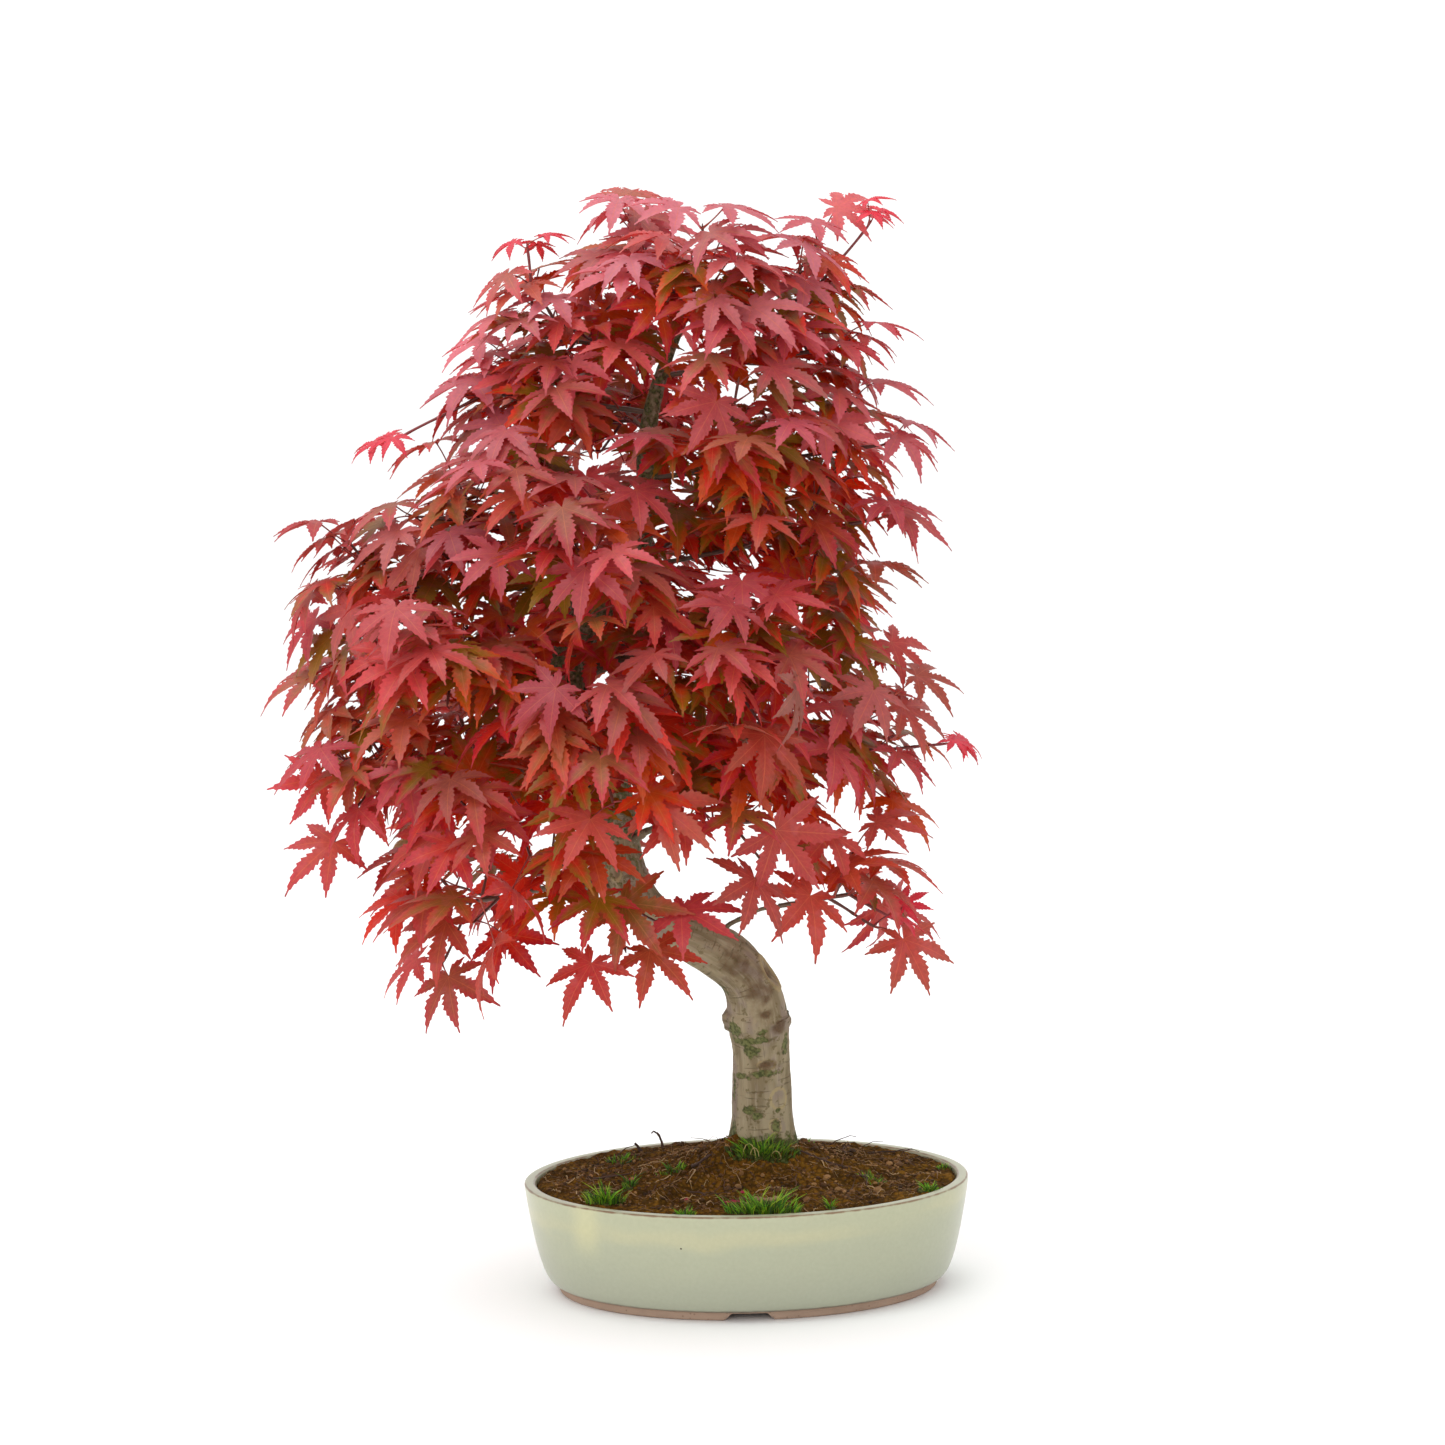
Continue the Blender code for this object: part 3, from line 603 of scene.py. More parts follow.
# Dead twigs: stations from the pot's middle as (x, y, height above the soil) and the foot's radius, in mm
TWIGS = (
    (((-47, 70, -2), (-48.5, 70, 4), (-50.5, 70, 8.5), (-53, 70, 10), (-54.5, 69, 8.4)), 0.8),
    (((-60, 62, -1), (-62, 62, 3), (-64, 62, 6)), 1.2),
    (((-75, 52, 0), (-69, 56, 4), (-62, 60, 5)), 0.35),
    (((18, 76, 0), (26, 75, 3.5), (36, 74, 4)), 0.25),
    (((84, 50, 0), (92, 46, 3.4), (103, 42, 3)), 0.3),
    (((-18, 78, 0), (-25, 77, 3), (-34, 76, 4.2)), 0.25),
    (((66, 60, 0), (74, 58, 4.5), (82, 56, 5)), 0.25),
    (((92, 30, 0), (99, 28, 3), (106, 24, 3.2)), 0.3),
    (((48, 66, 0), (54, 65, 3.5), (61, 64, 6.5), (66, 63, 6)), 0.3),
    (((55, 60, 0), (59, 60, 3), (64, 60, 3.4)), 0.3),
    (((70, 45, 0), (80, 42, 2.2), (92, 40, 3.5), (97, 41, 5)), 0.45),
    (((-30, -8, 1), (-24, -12, 2.4), (-17, -12, 1.2)), 0.9),
    (((30, -2, 1), (44, -8, 2), (58, -6, 1.2)), 0.8),
    (((62, -20, 0), (67, -26, 2.5), (66, -34, 0.5)), 0.7),
    (((-86, 2, 0.5), (-74, -2, 2.4), (-62, 4, 1)), 0.6),
    (((-20, -50, 0.5), (-26, -44, 2), (-36, -42, 1)), 0.5),
)


def make_dead_twigs():
    rng = random.Random("dead twigs")
    shape = Shape()
    for stations, thick in TWIGS:
        rough = [Vector(row) for row in stations]
        path = []
        for start, end in zip(rough, rough[1:]):
            for k in range(4):
                spot = start.lerp(end, k / 4)
                x, y = (spot.x + rng.uniform(-0.25, 0.25)) * MM, (spot.y + rng.uniform(-0.25, 0.25)) * MM
                path.append(POT_MIDDLE + Vector((x, y, ground(x, y, False) + spot.z * MM)))
        count = len(path)
        radii = [thick * MM * (1.1 - 0.6 * k / count) * rng.uniform(0.85, 1.15) for k in range(count)]
        lay(shape, rng, bar(path, radii, 7), TWIG_BROWN, 0.35)
    add_piece("dead_twigs", shape, [litter_finish("dead_twig", 0.8, 0.002)], crease=60)


def make_fallen_bits():
    """Curled slivers of dropped leaf."""
    rng = random.Random("fallen bits")
    shape = Shape()
    rows = 7
    for x, y, length, heading in SLIVERS:
        ahead = Vector((math.cos(heading), math.sin(heading), 0))
        across = Vector((-ahead.y, ahead.x, 0))
        points = []
        for k in range(rows):
            share = k / (rows - 1)
            spot = on_ground(x * MM, y * MM, MM) + ahead * length * MM * (share - 0.5)
            width = 0.3 * MM + 1.3 * MM * math.sin(math.pi * share)
            curl = UP * MM * (1.2 * math.sin(math.pi * share) + rng.uniform(-0.1, 0.1))
            side = across * width
            points += [spot - side, spot + curl - UP * 0.2 * MM, spot + side, spot + curl]
        lay(shape, rng, (points, skin(rows, 4)), SLIVER_RED, 0.25)
    add_piece("fallen_leaf_bits", shape, [litter_finish("fallen_leaf", 0.5, 0.002)], crease=50)


make_crumbs()
make_hair_roots()
make_dead_twigs()
make_fallen_bits()


# --- The moss and grass --------------------------------------------------------------------------
# Star moss and seedling grass have settled in tufts on the damp soil, thickest at the front rim and round
# the trunk's foot, where a few dry straw loops are tangled in.

# Name, x, y, half width, half depth, blade height in millimetres, number of blades and what it stands for
TUFTS = (
    ("tuft_front", 9, -79, 21, 5, 12, 380, "grass_front"),
    ("tuft_left", -77, -51, 11, 6, 11, 170, "grass_left"),
    ("tuft_trunk", 10, -7, 21, 7, 8, 420, "moss_trunk"),
    ("tuft_left_middle", -65, -20, 5, 7, 8, 40, None),
    ("tuft_left_inner", -41, -6, 9, 5, 5, 60, None),
    ("tuft_front_left", -34, -80, 7, 2.6, 5, 60, None),
    ("tuft_front_right", 45, -73, 2.6, 2.6, 8.5, 26, None),
    ("tuft_right_middle", 70, -22, 8, 6, 4.5, 46, None),
    ("tuft_right_rim", 101, -38, 6, 4, 5, 90, None),
    ("tuft_far_right", 112, 12, 4, 4, 3, 40, None),
    ("tuft_back", 30, 55, 10, 6, 5, 60, None),
    ("tuft_back_left", -70, 38, 9, 6, 5, 60, None),
)
GREENS = (srgb(98, 162, 16), srgb(128, 188, 24), srgb(72, 124, 14), srgb(160, 186, 40), srgb(54, 86, 14))
DEEP_GREEN = srgb(60, 66, 14)
# Loops of dry grass in the trunk's tuft: place across it, half width and height in millimetres
STRAW_LOOPS = ((-8, 3.6, 8), (-5, 2.4, 5.5), (7, 2.6, 4))
STRAW = srgb(176, 158, 98)


def blend(first, second, share):
    """A value part of the way from one colour to another."""
    return tuple(a + (b - a) * held(share) for a, b in zip(first, second))


def moss_finish():
    f = Finish("moss_and_grass", Roughness=0.6, Specular_IOR_Level=0.35)
    colour = f.shade(f.painted("tint", "Color"), 0.8, 1.25, f.grain(0.002, 3))
    return f.wear(colour, f.bump(f.grain(0.0008, 3), 0.0002, 0.5))


def grow_blade(shape, rng, foot, height, lean, tint):
    """One tapering blade or moss stem that arches over."""
    over = Vector((math.cos(lean), math.sin(lean), 0))
    reach = rng.uniform(0.2, 1.1) * height
    path = [foot + UP * height * s + over * reach * s * s for s in (-0.15, 0.3, 0.65, 1)]
    thick = rng.uniform(0.22, 0.42) * MM
    points, faces = bar(path, [thick, thick, thick * 0.75, thick * 0.12], 4)
    # Painted shade low in the tuft: each blade is painted half as bright at its foot, brightening to its
    # tint at the tip.
    root = [c * 0.5 for c in tint[:3]]
    paint = [(*(a + (b - a) * (k // 4) / 3 for a, b in zip(root, tint)), 1) for k in range(len(points))]
    shape.add(points, faces, tint=paint)


def tuft_spot(row, turn, out):
    """Place in a tuft at a turn and a share of the way out from its middle."""
    _, x, y, half_width, half_depth, *_ = row
    return (x + half_width * out * math.cos(turn)) * MM, (y + half_depth * out * math.sin(turn)) * MM


def make_tuft(row, finish):
    name, x, y, _, _, height, count, node = row
    at_trunk = node == "moss_trunk"
    rng = random.Random(name)
    shape = Shape()
    for _ in range(count):
        turn = rng.uniform(0, math.tau)
        out = rng.random() ** 0.7
        px, py = tuft_spot(row, turn, out)
        clump = 0.5 + noise.noise(Vector((px, py, 0)) * 260)
        tall = height * MM * (1.2 - 0.6 * out) * rng.uniform(0.35, 1.15) * max(0.25, min(1.2, 0.35 + clump))
        lean = turn + rng.uniform(-1.2, 1.2)
        dull = 0.7 - clump + (0.9 * out - 0.1 if at_trunk else 0)
        tint = blend(rng.choice(GREENS), DEEP_GREEN, dull)
        grow_blade(shape, rng, on_ground(px, py, -0.3 * MM), tall, lean, tint)
    for _ in range(max(3, count // (4 if at_trunk else 9))):
        turn = rng.uniform(0, math.tau)
        px, py = tuft_spot(row, turn, math.sqrt(rng.random()))
        lay(shape, rng, knocked_ball(rng, on_ground(px, py), rng.uniform(1, 2) * MM, 2), DEEP_GREEN, 0.3)
    if at_trunk:
        add_straw_loops(shape, rng, x, y)
    add_piece(name, shape, [finish], [node] if node else (), crease=60)


def add_straw_loops(shape, rng, x, y):
    """Dry grass bent over in loops."""
    for across, width, tall in STRAW_LOOPS:
        foot = on_ground((x + across) * MM, (y - rng.uniform(1, 5)) * MM)
        width, tall = width * MM, tall * MM
        path = []
        for step in range(8):
            angle = math.pi * 1.15 * step / 7
            path.append(foot + Vector((-math.cos(angle) * width, -0.4 * MM * step, math.sin(angle) * tall)))
        lay(shape, rng, bar(path, [0.28 * MM] * len(path), 5), STRAW, 0.15)


tuft_finish = moss_finish()
for tuft in TUFTS:
    make_tuft(tuft, tuft_finish)


# --- The trunk ------------------------------------------------------------------------------------
# One maple stem, field grown and then bent by hand: upright from the soil, hard over to the left above the
# knobs of an old ring of buds, and up again to the leader. Smooth grey bark, pruning scars and lichen.

# Stations as x, y, z from the pot's middle and the radius, in millimetres, from the soil to the leader's tip
TRUNK = (
    (9, 18, 50, 21), (9, 18, 66, 20.4), (10, 18, 76, 18.9), (10, 18, 86, 17.8), (10, 18, 98, 17),
    (10, 17, 114, 16.5), (10, 16, 132, 16.2), (9, 14, 145, 16.8), (8, 13, 151, 17.8), (8, 12, 157, 16.6),
    (6, 10, 168, 16), (0, 8, 179, 15.6), (-11, 5, 188, 15), (-26, 1, 197, 13.4), (-41, -2, 205, 12.5),
    (-54, -4, 217, 12), (-62, -4, 233, 11.7), (-66, -3, 250, 11.4), (-68, -2, 269, 11.1), (-71, -1, 288, 11),
    (-79, -1, 308, 11.2), (-88, -2, 327, 11.3), (-93, -3, 345, 11.3), (-90, -3, 362, 11), (-79, -2, 380, 10),
    (-66, 0, 395, 8.6), (-55, 1, 411, 7.5), (-49, 2, 429, 6.7), (-46, 3, 448, 6.1), (-46, 4, 467, 5.4),
    (-44, 4, 486, 4.6), (-39, 3, 505, 3.8), (-32, 2, 524, 3), (-24, 1, 541, 2.3), (-17, 0, 562, 1.6),
)
TRUNK_SIDES = 84
TRUNK_STEP = 1.4
ROOT_TURNS = (-2.2, -0.4, 1.2, 2.7)
ROOT_SWELL = 0.2
ROOT_TOP = 92
TIP_ROWS = 30
MOSS_TOP = 98
MOSS_FADE = 24
# Above this height the bark is lightly and evenly spotted with lichen, more and more over the fade
OLD_LICHEN_FROM = 200
OLD_LICHEN_FADE = 60
OLD_LICHEN = 0.42
FRONT = -math.pi / 2
# Marks on the bark: kind, height, turn round the trunk, half height, half width and rise, in millimetres.
# A knob with a negative rise is a hollow.
BARK_MARKS = (
    ("knob", 152, FRONT - 1.4, 2.2, 2.6, 1.9), ("knob", 147.6, FRONT - 1.45, 2, 2.6, 1.7),
    ("knob", 152, FRONT + 1.2, 2.4, 2.4, 1.5), ("knob", 146, FRONT + 1.4, 2.8, 2.8, 2.4),
    ("knob", 150, FRONT + 0.5, 3, 5, 1.1), ("knob", 147, FRONT - 0.5, 2.5, 6, 0.9),
    ("knob", 144, FRONT + 2.6, 4, 7, 1.6), ("knob", 62, FRONT - 1.2, 9, 8, 3),
    ("knob", 66, FRONT + 1.3, 8, 7, 2), ("knob", 168, FRONT + 1.2, 3, 3, 0.9),
    ("scar", 126, FRONT + 0.17, 3, 5, 1), ("scar", 106, FRONT + 0.61, 6, 5.5, 0.35),
    ("knob", 174, FRONT + 1.5, 11, 14, -4.5), ("scar", 172, FRONT + 1.32, 7, 7.5, 1.8),
    ("scar", 90, FRONT + 0.42, 4, 3.6, 0.45),
    ("scar", 92, FRONT + 2.2, 5, 5, 0.8), ("scar", 240, FRONT - 0.3, 5, 4, 1),
    ("scar", 300, FRONT + 0.6, 5, 4, 1), ("scar", 139, FRONT + 3.2, 4, 5, 1),
)
# Patches of lichen and of brown wound cork: height, turn, half height and half width, and how thick they are
LICHENS = (
    (148, FRONT - 0.85, 3.4, 5, 1), (141.5, FRONT - 0.7, 2.2, 6, 1), (142.5, FRONT - 0.1, 1.8, 6, 1),
    (136, FRONT - 0.32, 4.2, 3.6, 1), (147, FRONT + 0.11, 1.2, 3, 0.9), (136, FRONT + 1, 5, 2.4, 1),
    (121, FRONT + 0.1, 1.9, 7.5, 1), (118.6, FRONT - 0.75, 1.5, 7, 0.75), (99.5, FRONT - 0.42, 2.5, 3.6, 1),
    (96, FRONT - 0.16, 2.3, 3.6, 1), (99, FRONT + 0.53, 1.3, 1.5, 1), (90, FRONT + 0.42, 4.4, 3.8, 0.6),
    (112, FRONT - 1.2, 8, 2.4, 0.7), (150, FRONT + 2, 8, 10, 0.8), (110, FRONT + 2.6, 16, 10, 0.7),
    (95, FRONT - 2.4, 12, 9, 0.8), (84, FRONT - 1.2, 6, 4, 0.8), (178, FRONT - 1.5, 6, 9, 0.8),
)
WOUNDS = (
    (157, FRONT + 0.3, 2.6, 3, 1), (148, FRONT + 0.76, 5, 5, 1), (126, FRONT + 0.17, 3.2, 5.6, 0.8),
    (168, FRONT + 0.3, 12, 11, 0.66), (182, FRONT + 0.2, 10, 12, 0.66), (172, FRONT + 1.32, 4, 5, 0.8),
    (141, FRONT + 2.8, 5, 8, 0.9),
)


def smooth_run(stations, spacing):
    """Evenly spaced rows on a smooth curve through the stations."""
    rows = np.array(stations, float)
    ends = np.vstack([2 * rows[0] - rows[1], rows, 2 * rows[-1] - rows[-2]])
    run = []
    for a, b, c, d in zip(ends, ends[1:], ends[2:], ends[3:]):
        steps = max(1, round(float(np.linalg.norm((c - b)[:3])) / spacing))
        for t in np.arange(steps) / steps:
            run.append(b + t * 0.5 * (c - a + t * (2 * a - 5 * b + 4 * c - d + t * (3 * (b - c) + d - a))))
    return run + [rows[-1]]


def turn_gap(turn, other):
    """Signed angle from one turn to another, the short way round."""
    return (turn - other + math.pi) % math.tau - math.pi


def bark_rise(along, height, turn, radius):
    """How far the bark stands out at a place on the trunk, and how much of it is a scar."""
    rise = 0.0
    scar = 0.0
    for kind, mark_height, mark_turn, half_height, half_width, lift in BARK_MARKS:
        up = (height - mark_height) / half_height
        over = turn_gap(turn, mark_turn) * radius / half_width
        away = math.hypot(up, over)
        if away > 2.5:
            continue
        if kind == "knob":
            rise += lift * math.exp(-away * away * 1.3)
        else:
            rise += lift * (hump(away - 1, 0.22) - 0.6 * hump(away, 0.7))
            scar = max(scar, hump(away - 1, 0.3), 0.7 * hump(away, 0.75))
    round_trunk = Vector((math.cos(turn), math.sin(turn), 0))
    rise += noise.noise(round_trunk * 2.2 + UP * along / 22) * 0.03 * radius
    rise += noise.noise(round_trunk * 9 + UP * along / 14) * 0.2
    wrinkle = noise.noise(round_trunk * 1.5 + UP * along / 2.6)
    rise += max(0, wrinkle) * 0.3
    ring = hump(height - 149, 4.5) + 0.6 * hump(height - 141, 2)
    rise += ring * (0.6 + 1.5 * noise.noise(round_trunk * 4 + UP * 3))
    return rise, scar


def patch_cover(patches, height, turn, radius):
    """How thick the nearest of some patches is at a place on the trunk."""
    cover = 0.0
    for patch_height, patch_turn, half_height, half_width, thick in patches:
        up = (height - patch_height) / half_height
        over = turn_gap(turn, patch_turn) * radius / half_width
        cover = max(cover, thick * math.exp(-(up * up + over * over) * 0.75))
    return cover


def bark_place(turn, radius, along):
    """Where a point of the bark would be if its wood were straight, for the grain to follow."""
    return math.cos(turn) * radius * MM, math.sin(turn) * radius * MM, along * MM


def make_trunk():
    rows = smooth_run(TRUNK, TRUNK_STEP)
    points, grain, scars, lichens, wounds, mosses = [], [], [], [], [], []
    last = UP.copy()
    side = Vector((1, 0, 0))
    along = 0.0
    for i, row in enumerate(rows):
        middle, radius = Vector(row[:3]), float(row[3])
        ahead = Vector(rows[min(i + 1, len(rows) - 1)][:3]) - Vector(rows[max(i - 1, 0)][:3])
        ahead.normalize()
        side.rotate(last.rotation_difference(ahead))
        last = ahead
        other = ahead.cross(side)
        along += (middle - Vector(rows[max(i - 1, 0)][:3])).length
        height = middle.z
        foot = max(0, 1 - max(0, height - TRUNK[1][2]) / (ROOT_TOP - TRUNK[1][2]))
        for turn in turns_of(TRUNK_SIDES):
            near_root = max(math.cos(turn - root) for root in ROOT_TURNS)
            rise, scar = bark_rise(along, height, turn, radius)
            taper = min(1, (len(rows) - i) / TIP_ROWS)
            out = radius * (1 + ROOT_SWELL * foot * max(0, near_root) ** 6) + rise * taper
            spot = middle + (side * math.cos(turn) + other * math.sin(turn)) * out
            points.append(POT_MIDDLE + spot * MM)
            grain.append(bark_place(turn, radius, along))
            scars.append(scar)
            older = OLD_LICHEN * held((height - OLD_LICHEN_FROM) / OLD_LICHEN_FADE)
            lichens.append(max(older, patch_cover(LICHENS, height, turn, radius)))
            wounds.append(patch_cover(WOUNDS, height, turn, radius))
            mosses.append(held((MOSS_TOP - spot.z) / MOSS_FADE))
    shape = Shape()
    paint = {"grain": grain, "scar": scars, "lichen": lichens, "wound": wounds, "moss": mosses}
    shape.add(points, skin(len(rows), TRUNK_SIDES), **paint)
    add_piece("trunk_wood", shape, [trunk_bark()], ["trunk"], crease=70)


def trunk_bark():
    """Smooth grey-beige maple bark: pale and dark streaks, cross wrinkles with painted shade in them,
    lichen, scars and foot moss.
    """
    f = Finish("trunk_bark", Roughness=0.8, Specular_IOR_Level=0.3)
    where = f.painted("grain", "Vector")
    streak = f.grain(0.0016, 3, where, (1, 1, 14))
    broad = f.grain(0.007, 3, where, (1, 1, 4))
    base = f.mix(f.step(broad, 0.36, 0.64), srgb(126, 112, 84), srgb(156, 143, 114))
    base = f.stain(base, srgb(140, 124, 112), f.step(f.grain(0.011, 2, where, (1, 1, 1.6)), 0.5, 0.66), 0.7)
    base = f.stain(base, srgb(176, 164, 138), f.step(streak, 0.56, 0.7), 0.4)
    base = f.stain(base, srgb(82, 68, 48), f.step(f.grain(0.0012, 3, where, (1, 1, 9)), 0.6, 0.74), 0.4)
    # The cross wrinkles are pressed in and painted darker, as painted shade in their creases.
    creased = f.step(f.grain(0.004, 4, where, (3.5, 3.5, 0.35)), 0.6, 0.7)
    base = f.stain(base, srgb(92, 78, 54), creased, 0.55)
    ring = f.step(f.plus(f.painted("scar"), f.span(f.grain(0.0012, 2), -0.2, 0.2)), 0.55, 0.9)
    ringed = f.stain(base, srgb(170, 152, 108), ring, 0.7)
    ragged = f.span(f.grain(0.003, 5), -0.8, 0.8)
    bruised = f.plus(f.painted("wound"), f.span(f.grain(0.006, 4), -0.5, 0.5))
    corky = f.step(bruised, 0.25, 0.8)
    cork = f.mix(f.grain(0.0015, 4), srgb(54, 34, 16), srgb(112, 82, 52))
    ringed = f.stain(ringed, cork, corky, 0.85)
    spread = f.plus(f.painted("lichen"), ragged)
    cover = f.step(spread, 0.42, 0.5)
    brim = f.minus(f.step(spread, 0.3, 0.38), cover)
    green = f.mix(f.step(f.grain(0.0018, 4), 0.35, 0.65), srgb(58, 66, 28), srgb(112, 116, 66))
    licheny = f.stain(f.stain(ringed, srgb(86, 70, 36), brim, 0.5), green, cover, 0.9)
    spots = f.mix(f.grain(0.0016, 2), srgb(96, 68, 38), srgb(92, 92, 54))
    spotty = f.stain(licheny, spots, f.step(f.grain(0.0034, 5), 0.6, 0.66), 0.6)
    mossy = f.plus(f.painted("moss"), f.span(f.grain(0.004, 5), -0.5, 0.5))
    mossy = f.step(mossy, 0.5, 0.7)
    colour = f.mix(mossy, spotty, f.mix(f.grain(0.0015, 3), srgb(44, 48, 16), srgb(88, 88, 36)))
    fissure = f.bump(streak, 0.0005, 0.6, f.bump(f.times(corky, f.grain(0.0014, 4)), 0.0012, 0.8))
    wrinkled = f.bump(f.minus(1, creased), 0.0006, 0.6, fissure)
    crusty = f.bump(f.times(cover, f.grain(0.0008, 3)), 0.0006, 0.7, wrinkled)
    return f.wear(colour, crusty)


make_trunk()


# --- The branches ---------------------------------------------------------------------------------
# Bare inner wood of the lower and middle limbs, set over years with wire. Each leaves the trunk from a
# swollen collar, levels out, and thins from one ring of old buds to the next.

# Name, height on the trunk, tip of the leafy shoot, share of bare wood and the wood's radius, in millimetres
LIMBS = (
    ("low_right", 193, (62, -18, 224), 0.5, 1.6),
    ("low_front", 206, (-72, -82, 230), 0.5, 2.2),
    ("low_left", 221, (-168, -25, 222), 0.5, 3),
    ("low_back", 228, (-116, 82, 228), 0.5, 2.6),
    ("right_front_low", 248, (10, -64, 272), 0.46, 2.6),
    ("left_front_low", 262, (-146, -88, 270), 0.45, 3),
    ("left_low", 276, (-219, -16, 305), 0.48, 3.4),
    ("right_low", 290, (80, -6, 302), 0.5, 3.4),
    ("left_back_low", 300, (-172, 84, 290), 0.45, 3),
    ("right_back_low", 308, (20, 84, 296), 0.45, 2.8),
    ("front_mid", 318, (-72, -114, 318), 0.45, 3),
    ("left_mid", 334, (-218, 16, 346), 0.42, 3.4),
    ("right_mid", 344, (66, 16, 356), 0.5, 3.2),
    ("right_front_mid", 353, (10, -90, 357), 0.48, 2.8),
    ("left_front_mid", 360, (-166, -88, 361), 0.4, 2.8),
    ("back_mid", 371, (-74, 110, 368), 0.45, 2.8),
    ("left_high", 382, (-219, 4, 397), 0.45, 3),
    ("front_high", 398, (-76, -100, 412), 0, 2),
    ("right_high", 404, (80, -12, 430), 0, 2),
    ("back_high", 414, (0, 84, 424), 0, 2),
    ("left_upper", 426, (-178, 12, 436), 0, 2),
    ("front_left_upper", 441, (-119, -67, 459), 0, 1.8),
    ("right_upper", 454, (86, 4, 470), 0, 1.8),
    ("front_right_upper", 468, (16, -70, 476), 0, 1.6),
    ("back_upper", 478, (-62, 74, 494), 0, 1.6),
    ("left_top", 490, (-134, -4, 504), 0, 1.6),
    ("right_top", 510, (60, -12, 524), 0, 1.5),
    ("left_crown", 522, (-106, -20, 534), 0, 1.5),
    ("front_crown", 536, (-6, -48, 561), 0, 1.4),
    ("right_crown", 546, (46, 10, 550), 0, 1.4),
    ("apex", 562, (-44, -4, 569), 0, 1.3),
)
WOOD_TAPER = (1.35, 0.85, 0.7, 0.58, 0.5)
WOOD_END = 1.5 * MM
WOOD_ARCH = 5 * MM
WOOD_SIDES = 16
WOOD_STEP = 1.3
BUD_STEP = 19
SPURS = 3


def trunk_at(height):
    """Middle of the trunk at a height in millimetres, from the pot's middle."""
    for low, high in zip(TRUNK, TRUNK[1:]):
        if low[2] <= height <= high[2]:
            return Vector(low[:3]).lerp(Vector(high[:3]), (height - low[2]) / (high[2] - low[2])) * MM
    return Vector(TRUNK[-1][:3]) * MM


def limb_line(height, tip, share):
    """Root of a limb on the trunk's axis, start of its leafy shoot, and its tip."""
    root = trunk_at(height)
    tip = Vector(tip) * MM
    return root, root.lerp(tip, share) + UP * 8 * MM if share else root, tip


def make_branch(limb, finish):
    name, height, tip, share, radius = limb
    rng = random.Random("wood " + name)
    root, start, tip = limb_line(height, tip, share)
    stations = []
    for k in range(4):
        spot = root.lerp(start, k / 3) + UP * WOOD_ARCH * math.sin(math.pi * k / 3)
        stations.append((*(spot / MM), radius * WOOD_TAPER[k]))
    end = start + (tip - start).normalized() * WOOD_END
    stations.append((*(end / MM), radius * WOOD_TAPER[4]))
    rows = smooth_run(stations, WOOD_STEP)
    shape = Shape()
    path, radii, grain = [], [], []
    along = 0.0
    bud = rng.uniform(4, BUD_STEP)
    for i, row in enumerate(rows):
        spot = Vector(row[:3])
        along += (spot - Vector(rows[max(0, i - 1)][:3])).length
        sideways, upwards = (noise.noise(Vector((along / 12, height, seed))) for seed in (1, 9))
        wobble = Vector((0, sideways, upwards))
        fade = min(1, along / 15, (len(rows) - 1 - i) / 8)
        path.append(POT_MIDDLE + (spot + wobble * 1.6 * fade) * MM)
        at_bud = hump((along - bud + BUD_STEP / 2) % BUD_STEP - BUD_STEP / 2, 1.6)
        radii.append(row[3] * MM * (1 + 0.22 * at_bud + 0.08 * noise.noise(Vector((along / 3, height, 0)))))
        grain += [bark_place(turn, row[3], along) for turn in turns_of(WOOD_SIDES)]
    points, faces = bar(path, radii, WOOD_SIDES)
    for k, spot in enumerate(points):
        middle = path[k // WOOD_SIDES]
        points[k] = middle + (spot - middle) * (1 + 0.14 * noise.noise(spot * 420))
    shape.add(points, faces, grain=grain)
    add_spurs(shape, rng, path, radii)
    add_piece("limb_" + name, shape, [finish], ["branch_" + name], crease=60)


def add_spurs(shape, rng, path, radii):
    """Short dead stubs and resting buds that stand on the old wood."""
    for _ in range(SPURS):
        k = rng.randrange(len(path) // 3, len(path) - 3)
        ahead = (path[k + 1] - path[k]).normalized()
        out = ahead.orthogonal()
        out.rotate(Matrix.Rotation(rng.uniform(0, math.tau), 3, ahead))
        lean = (out + ahead * 0.8).normalized()
        length = rng.uniform(1.5, 6) * MM
        thick = rng.uniform(0.35, 0.7) * MM
        spur = [path[k] + lean * (radii[k] * 0.5 + length * s) for s in (0, 0.4, 0.8, 1)]
        points, faces = bar(spur, [thick * 1.2, thick, thick, thick * 0.5], 6)
        shape.add(points, faces, grain=[tuple(p) for p in points])


def branch_bark():
    """Grey-brown bark of wood some years old, greenish on top, with pale pores."""
    f = Finish("branch_bark", Roughness=0.78, Specular_IOR_Level=0.3)
    where = f.painted("grain", "Vector")
    base = f.mix(f.grain(0.004, 4, where, (1, 1, 3)), srgb(92, 78, 62), srgb(136, 122, 98))
    base = f.stain(base, srgb(92, 94, 58), f.step(f.grain(0.003, 4), 0.52, 0.66), 0.6)
    colour = f.stain(base, srgb(176, 160, 132), f.within(f.cells(0.0014, where), 0.12, 0.24), 0.5)
    return f.wear(colour, f.bump(f.grain(0.001, 4, where, (1, 1, 4)), 0.0005, 0.8))


branch_finish = branch_bark()
for limb in LIMBS:
    if limb[3]:
        make_branch(limb, branch_finish)


# --- The leafy shoots ------------------------------------------------------------------------------
# Each limb ends in this year's growth: a leader with opposite side shoots, and on them pairs of seven-lobed
# palmate leaves on thin red stalks. Leaves are crimson outside, orange to olive in the shade of the crown.

# Late shoots that stand out past the crown, each with three small leaves: limb and tip in millimetres
SPRIGS = {
    "left_crown": (-108, -12, 584),
    "right_crown": (80, 6, 592),
    "left_top": (-184, -2, 478),
    "right_low": (118, -6, 305),
    "low_right": (86, -22, 209),
}
